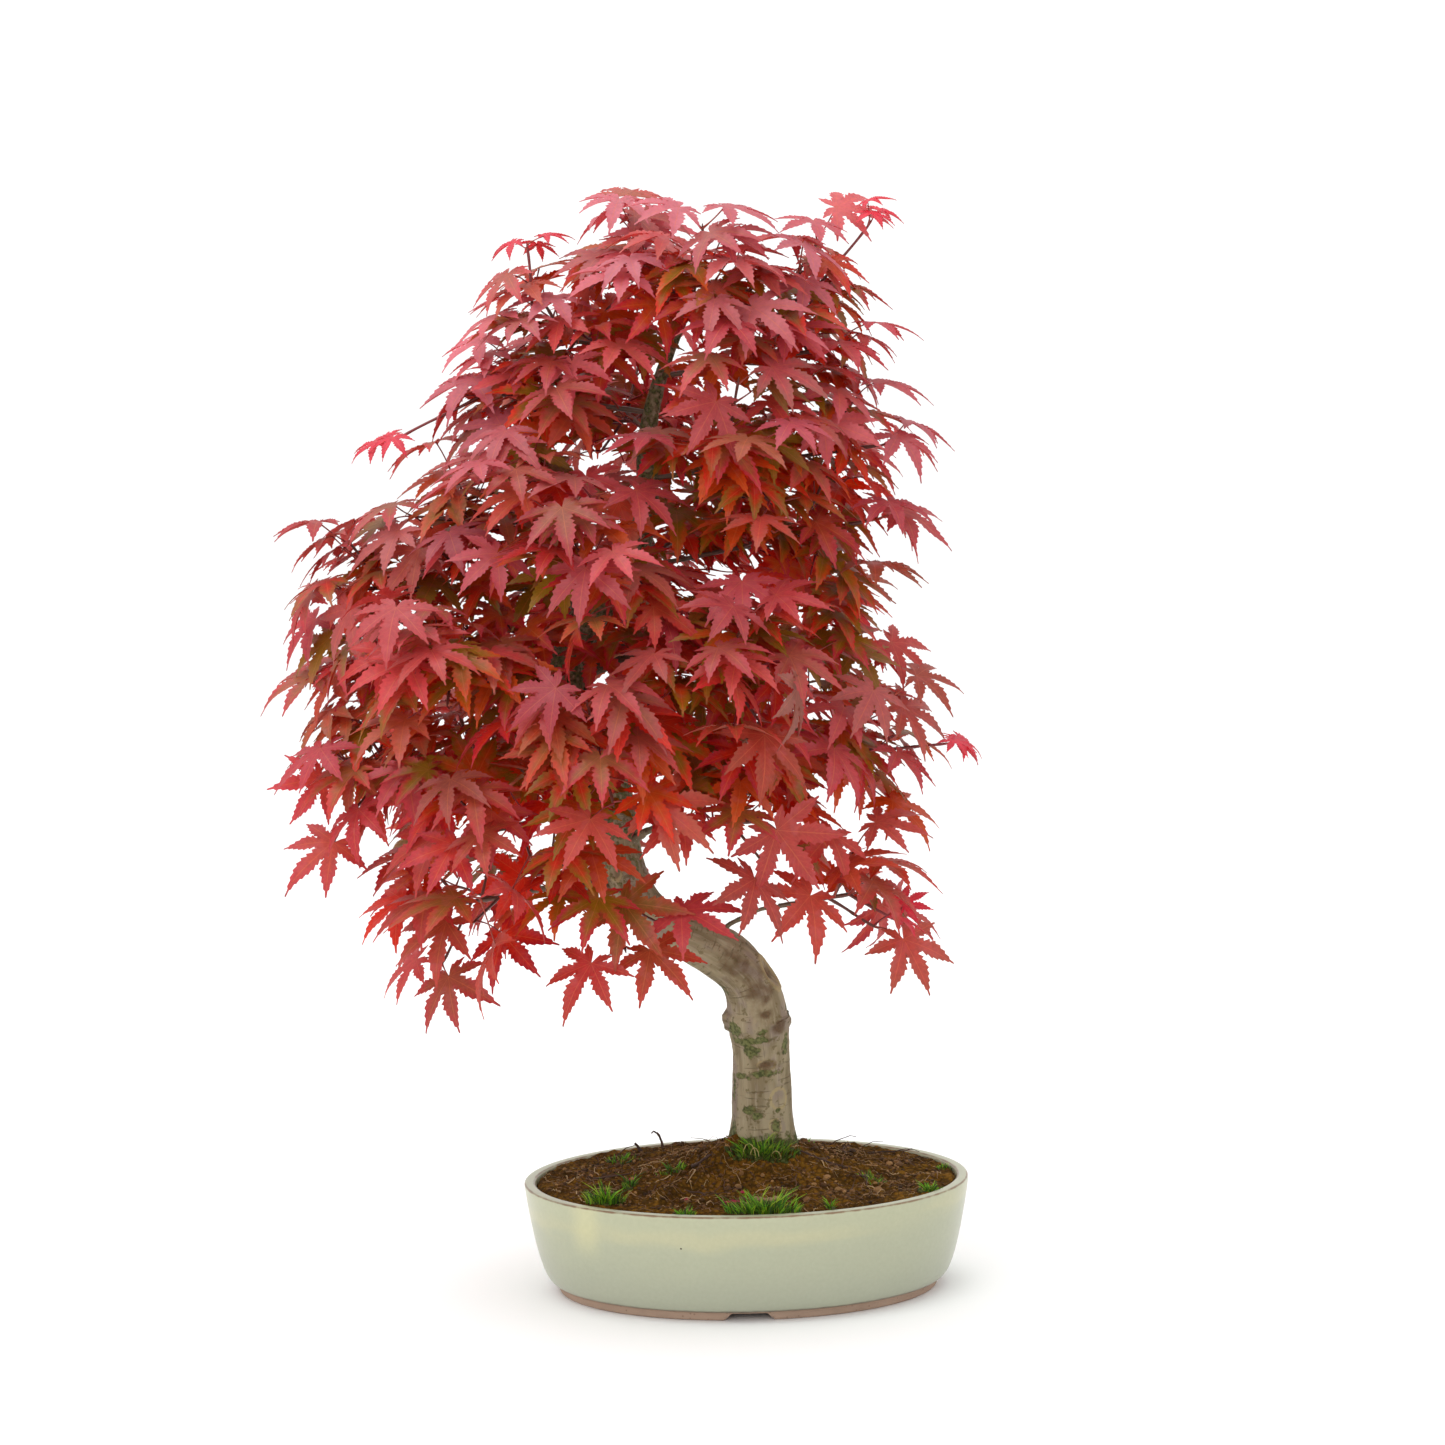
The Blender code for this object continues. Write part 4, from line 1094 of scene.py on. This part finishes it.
# Weaker shoots from the foot of a leader, which close the inside of the crown: limb and tip in millimetres
INNER_SHOOTS = {
    "right_front_mid": (8, -62, 396),
    "right_mid": (-16, -40, 346),
    "left_mid": (-148, -14, 388),
    "left_high": (-160, -30, 420),
    "front_mid": (-40, -78, 340),
    "right_high": (20, -30, 452),
    "left_low": (-150, -40, 330),
}
SHOOT_RADIUS = 0.9 * MM
STALK_RADIUS = 0.42 * MM
# The leader's pairs of side shoots: turn of each pair round it, share of the way along it where the first
# stands (on a bare limb, or straight on the trunk) and where they end, and length in millimetres
PAIR_ROLL = (0.25, 1.15)
FIRST_PAIR = (0.3, 0.42)
LAST_PAIR = 0.86
SIDE_LENGTH = (30, 44)
SHOOT_STEP = 3.5 * MM
SHOOT_STEPS = 14
# The crown's axis, the pull of its leaves to the front, and its foot and height
CROWN_AXIS_X = -60 * MM
FRONT_PULL = -35 * MM
CROWN_FOOT_Z = 170 * MM
CROWN_HEIGHT = 440 * MM
LEAF_SIZE = (32 * MM, 41 * MM)
SPRIG_LEAF = 0.5
LEAF_DROOP = 0.2
LEAF_TRIES = 9
STALK_LENGTH = (14, 26)
STALK_STEPS = 6
# Thickness of a leaf's stalk along its length, as shares of its radius: stout at the foot and at the blade
STALK_SWELL = (1.9, 1.35, 1, 0.95, 0.95, 1, 1.15, 0.7)
# Older leaves: where their nodes stand along a leader, a side shoot, an inner shoot and the bare wood
LEADER_NODES = (0.24, 0.5, 0.76)
SIDE_NODES = (0.3, 0.64)
INNER_NODES = (1, 0.72, 0.45)
WOOD_NODES = (0.92, 0.72, 0.5)
FIRST_OLDER = 100
FILL_TRIES = 14
SHED_BELOW = 284 * MM
# A leaf is shaded by others that stand in the way of its light; behind five it is in full shade
SHADE_WIDTH = 27 * MM
SHADE_GAP = 8 * MM
FULL_SHADE = 5
# Turn of each lobe from the leaf's midrib in degrees, and its reach as a share of the leaf's size
LOBES = ((-132, 0.4), (-92, 0.72), (-47, 0.93), (0, 1), (47, 0.93), (92, 0.72), (132, 0.4))
# Widest half width of a lobe and how far along it that is, reach of the gaps between lobes and of the gaps
# beside the stalk with their angle, and the number and depth of the teeth, as shares of the leaf's size
LOBE_HALF_WIDTH = 0.14
WIDEST_AT = 0.42
SINUS = 0.25
OUTER_GAP = 30
OUTER_SINUS = 0.12
TEETH = 8
TOOTH = 0.034
LEAF_THICK = 0.22 * MM
MEET = 1.2 * MM

CRIMSON = srgb(186, 38, 54)
# Pink blended into open leaves high in the crown as a painted sheen
PAINTED_SHEEN_PINK = srgb(216, 132, 146)
SCARLET = srgb(206, 52, 26)
RUST = srgb(194, 82, 22)
OLIVE = srgb(146, 112, 18)
NEW_PINK = srgb(222, 58, 88)
DULL_BROWN = srgb(158, 92, 62)
STALK_RED = srgb(128, 34, 40)
YOUNG_WOOD = srgb(98, 50, 40)
OLD_WOOD = srgb(104, 88, 70)


def shoots_of(name, start, tip, limb_root):
    """Foot, tip and leaf scale of the leader, of its opposite side shoots and of any late shoot."""
    rng = random.Random(name)
    leader = tip - start
    ahead = leader.normalized()
    across = ahead.cross(UP).normalized()
    shoots = [(start, tip, 1)]
    first = FIRST_PAIR[limb_root == start]
    upright = across.cross(ahead)
    for k in range(len(PAIR_ROLL)):
        share = first + (LAST_PAIR - first) * k / len(PAIR_ROLL)
        node = start.lerp(tip, share)
        roll = PAIR_ROLL[k] + rng.uniform(-0.3, 0.3)
        for hand in (-1, 1):
            sideways = (across * math.cos(roll) + upright * math.sin(roll)) * hand
            heading = ahead * 0.6 + sideways * rng.uniform(0.7, 0.95)
            length = rng.uniform(*SIDE_LENGTH) * MM
            node = node + ahead * SHOOT_STEP
            shoots.append((node, node + heading.normalized() * length, 1))
    if name in SPRIGS:
        shoots.append((tip - ahead * 2 * MM, Vector(SPRIGS[name]) * MM, SPRIG_LEAF))
    return shoots


def outward_at(place):
    """Level direction from the crown's axis out towards the light."""
    return Vector((place.x - CROWN_AXIS_X, place.y + FRONT_PULL, 0)).normalized()


def height_share(place):
    """How high a place stands: 0 at the foot of the crown, 1 at its top."""
    return held((place.z - CROWN_FOOT_Z) / CROWN_HEIGHT)


def leaf_place(name, number, attempt, shoot, turn):
    """One try at a leaf: foot of its stalk, middle and size of its blade, midrib and upward face."""
    rng = random.Random(f"{name}/{number}/{attempt}")
    foot, end, scale = shoot
    heading = (end - foot).normalized()
    across = heading.cross(UP).normalized()
    spread = 0.25 + 0.12 * attempt
    wander = Vector((rng.uniform(-1, 1), rng.uniform(-1, 1), rng.uniform(-1, 1))) * spread
    stalk = heading * (1 - 0.5 * abs(turn)) + across * turn * 0.9 + UP * 0.25 + wander
    length = rng.uniform(*STALK_LENGTH) * MM * scale
    stalk_foot = end - heading * rng.uniform(0.5, 5) * MM
    middle = stalk_foot + stalk.normalized() * length
    height = height_share(middle)
    outward = (outward_at(middle) + Vector((rng.uniform(-0.5, 0.5), rng.uniform(-0.9, 0.1), 0))).normalized()
    lift = rng.uniform(0.5, 1.5) + 0.9 * height
    face = (UP * lift + outward * rng.uniform(0.4, 1.1) + wander * 1.2).normalized()
    midrib = stalk.normalized() * 0.9 + outward * 0.5 - UP * rng.uniform(0.1, 0.7)
    midrib = (midrib - face * midrib.dot(face)).normalized()
    size = rng.uniform(*LEAF_SIZE) * scale * (1 - 0.12 * height)
    return stalk_foot, middle, midrib, face, size


def leaf_star(place):
    """A plain star of triangles on a leaf, to test what it would touch."""
    _, middle, midrib, face, size = place
    across = face.cross(midrib)
    points = [middle]
    for turn, reach in LOBES[1:-1]:
        for offset, share in ((-23, 0.3), (0, reach)) if turn > -92 else ((0, reach),):
            angle = math.radians(turn + offset)
            flat = (midrib * math.cos(angle) + across * math.sin(angle)) * share * size
            points.append(middle + flat - face * LEAF_DROOP * size * share * share)
    return points, [(0, k, k + 1) for k in range(1, len(points) - 1)]


class Crown:
    """The wood and the leaves that are already in place, so that no new leaf cuts through them."""

    def __init__(self):
        self.stars = []
        self.wood = []
        for name in ["trunk"] + ["branch_" + limb[0] for limb in LIMBS if limb[3]]:
            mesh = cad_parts[name].data
            points = [vertex.co - POT_MIDDLE for vertex in mesh.vertices]
            self.wood.append(BVHTree.FromPolygons(points, [list(face.vertices) for face in mesh.polygons]))

    def add(self, place):
        points, faces = leaf_star(place)
        self.stars.append((place[1], place[4], BVHTree.FromPolygons(points, faces)))

    def clear_for(self, place):
        points, faces = leaf_star(place)
        tree = BVHTree.FromPolygons(points, faces)
        if any(tree.overlap(wood) for wood in self.wood):
            return False
        for middle, size, star in self.stars:
            if (middle - place[1]).length < size + place[4] and tree.overlap(star):
                return False
        return True


def kept_leaves(name, shoots):
    """A limb's leaves as they stand in the frame: for each the try whose tip is a corner of its node."""
    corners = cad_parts["leaves_" + name].data.vertices
    tree = KDTree(len(corners))
    for k, vertex in enumerate(corners):
        tree.insert(vertex.co, k)
    tree.balance()
    found = []
    number = 0
    for index, shoot in enumerate(shoots):
        for turn in (-1, 1, 0) if index == 0 or shoot[2] < 1 else (-1, 1):
            for attempt in range(LEAF_TRIES):
                place = leaf_place(name, number, attempt, shoot, turn)
                _, middle, midrib, face, size = place
                tip = POT_MIDDLE + middle + midrib * size - face * LEAF_DROOP * size
                if tree.find(tip)[2] < MEET:
                    found.append((place, shoot[2]))
                    break
            number += 1
    return found


def older_nodes(root, shoots):
    """Foot of the stretch and place of each node further in: along the shoots, then along the bare wood."""
    for index, (foot, end, scale) in enumerate(shoots):
        if scale < 1:
            continue
        if index == 0:
            shares = LEADER_NODES
        else:
            shares = INNER_NODES if foot == shoots[0][0] else SIDE_NODES
        for share in shares:
            yield foot, foot.lerp(end, share)
    start = shoots[0][0]
    if start != root:
        for share in WOOD_NODES:
            yield root, root.lerp(start, share) + UP * WOOD_ARCH * math.sin(math.pi * share)


def fill_leaves(name, root, shoots, crown):
    """Older leaves on the nodes further in, where they find room. The lowest tier has shed its own."""
    grown = []
    number = FIRST_OLDER
    for foot, node in older_nodes(root, shoots):
        for turn in (-1, 1):
            for attempt in range(FILL_TRIES):
                place = leaf_place(name, number, attempt, (foot, node, 1), turn)
                if place[1].z > SHED_BELOW and crown.clear_for(place):
                    crown.add(place)
                    grown.append((place, 1))
                    break
            number += 1
    return grown


def lobe_outline(reach, left, right):
    """One lobe in its own axes: rows of (along, half width left, half width right) from foot to tip."""
    teeth = max(3, round(TEETH * reach))
    widest = LOBE_HALF_WIDTH * reach ** 0.75
    rows = []
    for k in range(teeth):
        for part, out in ((0.82, 1), (1.0, -0.5)):
            share = (k + part) / teeth
            if share >= 1:
                continue
            halves = []
            for gap, depth in (left, right):
                foot_width = depth * math.sin(gap)
                if share < WIDEST_AT:
                    ease = share / WIDEST_AT
                    width = foot_width + (widest - foot_width) * ease * ease * (3 - 2 * ease)
                else:
                    fall = (share - WIDEST_AT) / (1 - WIDEST_AT)
                    width = widest * (1 - fall) ** 1.35 * (1 + 0.6 * fall)
                halves.append(width + out * TOOTH * reach ** 0.5 * (1 - 0.65 * share))
            rows.append((share, *halves))
    return rows


def leaf_pattern():
    """The flat seven-lobed leaf: for each point its place, lobe, distance off the rib, share along and
    across its lobe and which face it is on, and the faces of its upper and lower side."""
    gaps = [math.radians(b[0] - a[0]) / 2 for a, b in zip(LOBES, LOBES[1:])]
    depths = [SINUS * min(1, (a[1] + b[1]) / 1.85) for a, b in zip(LOBES, LOBES[1:])]
    gaps = [math.radians(OUTER_GAP)] + gaps + [math.radians(OUTER_GAP)]
    depths = [OUTER_SINUS] + depths + [OUTER_SINUS]
    points = [(0.0, 0.0, -1, 0.0, 0.0, 0.0, 1)]
    faces = []
    sinus = []
    edge_turns = [math.radians(LOBES[0][0]) - gaps[0]]
    edge_turns += [math.radians(lobe[0]) + gap for lobe, gap in zip(LOBES, gaps[1:])]
    for angle, depth in zip(edge_turns, depths):
        sinus.append(len(points))
        points.append((depth * math.cos(angle), depth * math.sin(angle), -1, depth * 0.36, 0.2, 1.0, 0))
    for number, (turn, reach) in enumerate(LOBES):
        low, high = (gaps[number], depths[number]), (gaps[number + 1], depths[number + 1])
        foot = (low[1] * math.cos(low[0]) + high[1] * math.cos(high[0])) / 2
        heading = math.radians(turn)
        ribs, lefts, rights = [len(points)], [sinus[number]], [sinus[number + 1]]
        foot_x, foot_y = foot * math.cos(heading), foot * math.sin(heading)
        points.append((foot_x, foot_y, number, 0.0, foot / reach, 0.0, 1))
        for share, right, left in lobe_outline(reach, low, high):
            along = foot + share * (reach - foot)
            for off, rail in ((0.0, ribs), (-right, lefts), (left, rights)):
                x = along * math.cos(heading) - off * math.sin(heading)
                y = along * math.sin(heading) + off * math.cos(heading)
                rail.append(len(points))
                on_rib = off == 0
                points.append((x, y, number, abs(off), along / reach, float(not on_rib), int(on_rib)))
        tip = len(points)
        points.append((reach * math.cos(heading), reach * math.sin(heading), number, 0.0, 1.0, 0.0, 0))
        faces += [(0, lefts[0], ribs[0]), (0, ribs[0], rights[0])]
        for k in range(len(ribs) - 1):
            faces.append((lefts[k], lefts[k + 1], ribs[k + 1], ribs[k]))
            faces.append((ribs[k], ribs[k + 1], rights[k + 1], rights[k]))
        faces += [(lefts[-1], tip, ribs[-1]), (ribs[-1], tip, rights[-1])]
    under = {}
    for k in range(len(points)):
        if points[k][6]:
            under[k] = len(points)
            points.append((*points[k][:6], -1))
    lower = [tuple(under.get(k, k) for k in reversed(face)) for face in faces]
    return np.array(points), faces, lower


PATTERN, UPPER_FACES, LOWER_FACES = leaf_pattern()
LEAF_FACES = UPPER_FACES + LOWER_FACES
LEAF_FINISH = [0] * len(UPPER_FACES) + [1] * len(LOWER_FACES)


def bent_blade(rng, place):
    """Points of one leaf: lobes swung a little, folded along their ribs and hanging at the tips."""
    _, middle, midrib, face, size = place
    across = face.cross(midrib)
    x, y, lobe, off, _, _, side = PATTERN.T
    lobe = lobe.astype(int)
    count = len(LOBES)
    swing = np.append([math.radians(rng.gauss(0, 4)) for _ in range(count)], 0)[lobe]
    reach = np.append([rng.uniform(0.88, 1.06) for _ in range(count)], 1)[lobe]
    droop = np.append([LEAF_DROOP + rng.uniform(-0.05, 0.07) for _ in range(count)], LEAF_DROOP)[lobe]
    curl = rng.uniform(0, 0.16)
    fold = rng.uniform(0.18, 0.5)
    wave = rng.uniform(0, 0.025)
    phase = rng.uniform(0, math.tau)
    flat_x = (x * np.cos(swing) - y * np.sin(swing)) * reach
    flat_y = (x * np.sin(swing) + y * np.cos(swing)) * reach
    far = flat_x ** 2 + flat_y ** 2
    rise = fold * off - droop * far - curl * far ** 2 + wave * np.sin(9 * x + phase) * np.sqrt(far)
    thick = side * LEAF_THICK / size
    axes = np.array([midrib, across, face])
    return np.array(middle) + size * np.stack([flat_x, flat_y, rise + thick], 1) @ axes


def shade_on(middle, crown):
    """How deep in the crown a leaf stands: 0 in open light, 1 behind five leaves or more."""
    to_light = UP * 0.8 + outward_at(middle) * 0.6
    before = 0
    for other, _, _ in crown.stars:
        gap = other - middle
        depth = gap.dot(to_light)
        if depth > SHADE_GAP and (gap - to_light * depth).length < SHADE_WIDTH:
            before += 1
    return min(1, before / FULL_SHADE)


def leaf_colours(rng, height, shade, scale):
    """Colour of a leaf's heart and of its margin, by its height and by the shade it grew in, with a painted
    pink sheen and painted light and shade in its brightness.
    """
    if scale < 1:
        return NEW_PINK, blend(NEW_PINK, CRIMSON, 0.4)
    turned = shade * 1.15 + rng.uniform(-0.3, 0.5)
    sunned = blend(SCARLET, CRIMSON, height * 1.4 + rng.uniform(-0.3, 1))
    odd_ones = ((NEW_PINK, 0.5), (DULL_BROWN, 0.7), (CRIMSON, 0.3))
    sunned = blend(sunned, *rng.choice(odd_ones + ((sunned, 0),) * 9))
    heart = blend(sunned, rng.choice((RUST, RUST, OLIVE, OLIVE, SCARLET)), turned + 0.1)
    margin = blend(sunned, rng.choice((SCARLET, RUST, OLIVE, CRIMSON)), turned * 0.85)
    # Painted sheen: open leaves are blended towards pink, most of all high in the crown.
    painted_sheen = (0.26 + 1.7 * max(0, height - 0.6)) * rng.uniform(0.3, 1.6) * (1 - shade)
    # Painted light and shade: leaves deep in the crown are painted lighter and the lowest leaves darker, on
    # top of a random spread.
    depth = rng.uniform(0.84, 1.08) + 0.2 * shade - 0.7 * max(0, 0.35 - height)
    return [lit(blend(colour, PAINTED_SHEEN_PINK, painted_sheen), depth) for colour in (heart, margin)]


def add_leaf(shape, rng, place, shade, scale):
    """A blade, and the stalk that carries it."""
    stalk_foot, middle, midrib, face, _ = place
    heart, margin = leaf_colours(rng, height_share(middle), shade, scale)
    blade = bent_blade(rng, place) + np.array(POT_MIDDLE)
    seed = rng.random()
    spots = [(row[4], row[5], seed) for row in PATTERN]
    count = len(blade)
    paint = {"heart": [heart] * count, "margin": [margin] * count, "lobe_spot": spots}
    shape.add(blade.tolist(), LEAF_FACES, LEAF_FINISH, **paint)
    under = middle - face * (LEAF_THICK + STALK_RADIUS * 0.5)
    sag = (under - stalk_foot).length * 0.12 * rng.uniform(-0.5, 1)
    path = []
    for k in range(STALK_STEPS + 1):
        share = k / STALK_STEPS
        path.append(POT_MIDDLE + stalk_foot.lerp(under, share) + UP * sag * math.sin(math.pi * share))
    path.append(POT_MIDDLE + under + midrib * 1.2 * MM)
    slim = STALK_RADIUS * (0.75 if scale < 1 else 1)
    radii = [slim * swell for swell in STALK_SWELL]
    red = blend(STALK_RED, RUST, rng.uniform(0, 0.4))
    add_wood(shape, bar(path, radii, 6), red, red)


def add_wood(shape, solid, start, end):
    """A twig or a stalk, with its colour passing from one end to the other."""
    points, faces = solid
    count = len(points)
    colours = [blend(start, end, k / count) for k in range(count)]
    spots = [(k / count, 0, 0) for k in range(count)]
    shape.add(points, faces, 2, heart=colours, margin=colours, lobe_spot=spots)


def shoot_bar(rng, foot, end, thick):
    """A slightly crooked shoot with a joint at each pair of leaves."""
    ahead = end - foot
    sway = ahead.orthogonal().normalized() * rng.uniform(-0.6, 0.6) * MM
    path = []
    radii = []
    for k in range(SHOOT_STEPS + 1):
        share = k / SHOOT_STEPS
        path.append(POT_MIDDLE + foot.lerp(end, share) + sway * math.sin(math.tau * share))
        joint = hump(share * 3 % 1 - 0.5, 0.12)
        radii.append(thick * (1.15 - 0.35 * share + 0.28 * joint))
    radii[-1] = thick * 0.3
    return bar(path, radii, 8)


def leaf_finish(name, underside):
    """A maple leaf's side: coloured from heart to margin, paler ribs, waxy above and matt below."""
    f = Finish(name, Roughness=0.62 if underside else 0.42, Specular_IOR_Level=0.35 if underside else 0.5)
    along, across, _ = f.apart(f.painted("lobe_spot", "Vector"))
    blotch = f.grain(0.006, 3)
    outer = f.plus(f.times(along, 0.7), f.times(across, 0.35))
    outer = f.step(f.plus(outer, f.span(blotch, -0.3, 0.3)), 0.25, 0.85)
    lamina = f.mix(outer, f.painted("heart", "Color"), f.painted("margin", "Color"))
    lamina = f.shade(lamina, 0.78, 1.22, f.grain(0.0024, 5))
    lamina = f.stain(lamina, srgb(206, 116, 120), f.step(f.grain(0.009, 3), 0.52, 0.66), 0.22)
    rib = f.within(across, 0.02, 0.09)
    slanted = f.minus(along, f.times(across, 0.17))
    pattern = f.calc("SINE", f.times(slanted, 66))
    vein = f.times(f.step(pattern, 0.72, 1), 0.12)
    marked = f.mix(f.calc("MAXIMUM", f.times(rib, 0.34), vein), lamina, srgb(228, 136, 84))
    dry = f.times(f.step(f.plus(along, f.span(blotch, -0.1, 0.1)), 0.93, 1.02), 0.5)
    colour = f.mix(dry, marked, srgb(110, 52, 34))
    if underside:
        colour = f.mix(0.3, colour, srgb(190, 140, 128))
    ribbed = f.bump(f.plus(rib, vein), 0.0005, 0.5 if underside else -0.5)
    normal = f.bump(f.grain(0.0007, 2), 0.00012, 0.4, ribbed)
    material = f.wear(colour, normal)
    lit_through = f.mix(0.2, f.shade(colour, 1.5, 1.5, 0.5), srgb(222, 44, 22))
    glow = f.node("BsdfTranslucent", {"Color": lit_through, "Normal": normal})
    both = f.node("MixShader", {0: 0.48, 1: f.shader.outputs[0], 2: glow.outputs[0]})
    f.links.new(both.outputs[0], f.nodes["Material Output"].inputs["Surface"])
    return material


def shoot_finish():
    """Thin bark of a young shoot and the skin of a leaf stalk."""
    f = Finish("young_shoot", Roughness=0.45)
    colour = f.shade(f.painted("heart", "Color"), 0.8, 1.2, f.grain(0.0015, 3))
    return f.wear(colour, f.bump(f.grain(0.0008, 3), 0.0002, 0.5))


leaf_finishes = [leaf_finish("leaf_upper_side", False), leaf_finish("leaf_underside", True), shoot_finish()]
crown = Crown()
standing = {}
for name, height, tip, share, radius in LIMBS:
    root, start, tip = limb_line(height, tip, share)
    shoots = shoots_of(name, start, tip, root)
    standing[name] = (root, shoots, kept_leaves(name, shoots))
    for place, _ in standing[name][2]:
        crown.add(place)
for name, (root, shoots, leaves) in standing.items():
    if name in INNER_SHOOTS:
        shoots.append((shoots[0][0], Vector(INNER_SHOOTS[name]) * MM, 1))
    leaves += fill_leaves(name, root, shoots, crown)
for name, (_, shoots, leaves) in standing.items():
    rng = random.Random("looks " + name)
    shape = Shape()
    for number, (foot, end, scale) in enumerate(shoots):
        thick = SHOOT_RADIUS * (1.35 if number == 0 else 0.9)
        first = OLD_WOOD if number == 0 else YOUNG_WOOD
        last = YOUNG_WOOD if scale == 1 else STALK_RED
        add_wood(shape, shoot_bar(rng, foot, end, thick), first, last)
    for place, scale in leaves:
        add_leaf(shape, rng, place, shade_on(place[1], crown), scale)
    add_piece("foliage_" + name, shape, leaf_finishes, ["leaves_" + name], crease=60)


# --- The studio ------------------------------------------------------------------------------------
# A wide pale floor that runs out of sight, a broad soft light overhead and a soft fill from the front. The
# camera stands two metres off at the height of the crown and looks slightly down. None of it is the tree.

def pale_floor():
    f = Finish("pale_floor", Roughness=0.9, Specular_IOR_Level=0.1)
    colour = f.mix(f.grain(0.4, 3), srgb(250, 250, 250), srgb(254, 254, 254))
    f.links.new(colour, f.shader.inputs["Base Color"])
    return f.material


def soft_light(name, place, aim, size, power):
    lamp = bpy.data.lights.new(name, "AREA")
    lamp.shape = "SQUARE"
    lamp.size = size
    lamp.energy = power
    obj = new_object(name, lamp)
    obj.location = place
    obj.rotation_euler = (aim - place).to_track_quat("-Z", "Y").to_euler()


FLOOR_REACH = 30.0
corners = [(x * FLOOR_REACH, y * FLOOR_REACH, 0) for x, y in ((-1, -1), (1, -1), (1, 1), (-1, 1))]
floor = new_object("floor", new_mesh("floor", corners, [(0, 1, 2, 3)]))
floor.data.materials.append(pale_floor())

world = bpy.data.worlds.new("studio")
bpy.context.scene.world = world
world.use_nodes = True
background = world.node_tree.nodes["Background"].inputs
background["Color"].default_value = (1, 1, 1, 1)
background["Strength"].default_value = 1.1

# Each light's place, side and power; both aim at the middle of the crown
CROWN_MIDDLE = POT_MIDDLE + Vector((-0.06, 0, 0.38))
soft_light("overhead_light", POT_MIDDLE + Vector((-0.5, 0.0, 1.9)), CROWN_MIDDLE, 1.6, 15)
soft_light("front_light", POT_MIDDLE + Vector((-1.3, -1.7, 0.9)), CROWN_MIDDLE, 1.4, 6)

camera_data = bpy.data.cameras.new("camera")
camera_data.sensor_width = 36
camera_data.lens = 86.08
camera_data.clip_start = 0.05
camera = new_object("camera", camera_data)
TILT_DOWN = math.radians(6.445)
LEAN = math.radians(1.2523)
stand = Matrix.Translation(POT_MIDDLE + Vector((-0.00766, -1.9, 0.5333)))
aimed = Matrix.Rotation(math.pi / 2 - TILT_DOWN, 4, "X") @ Matrix.Rotation(-LEAN, 4, "Z")
camera.matrix_world = stand @ aimed
bpy.context.scene.camera = camera
bpy.context.scene.view_settings.view_transform = "Standard"
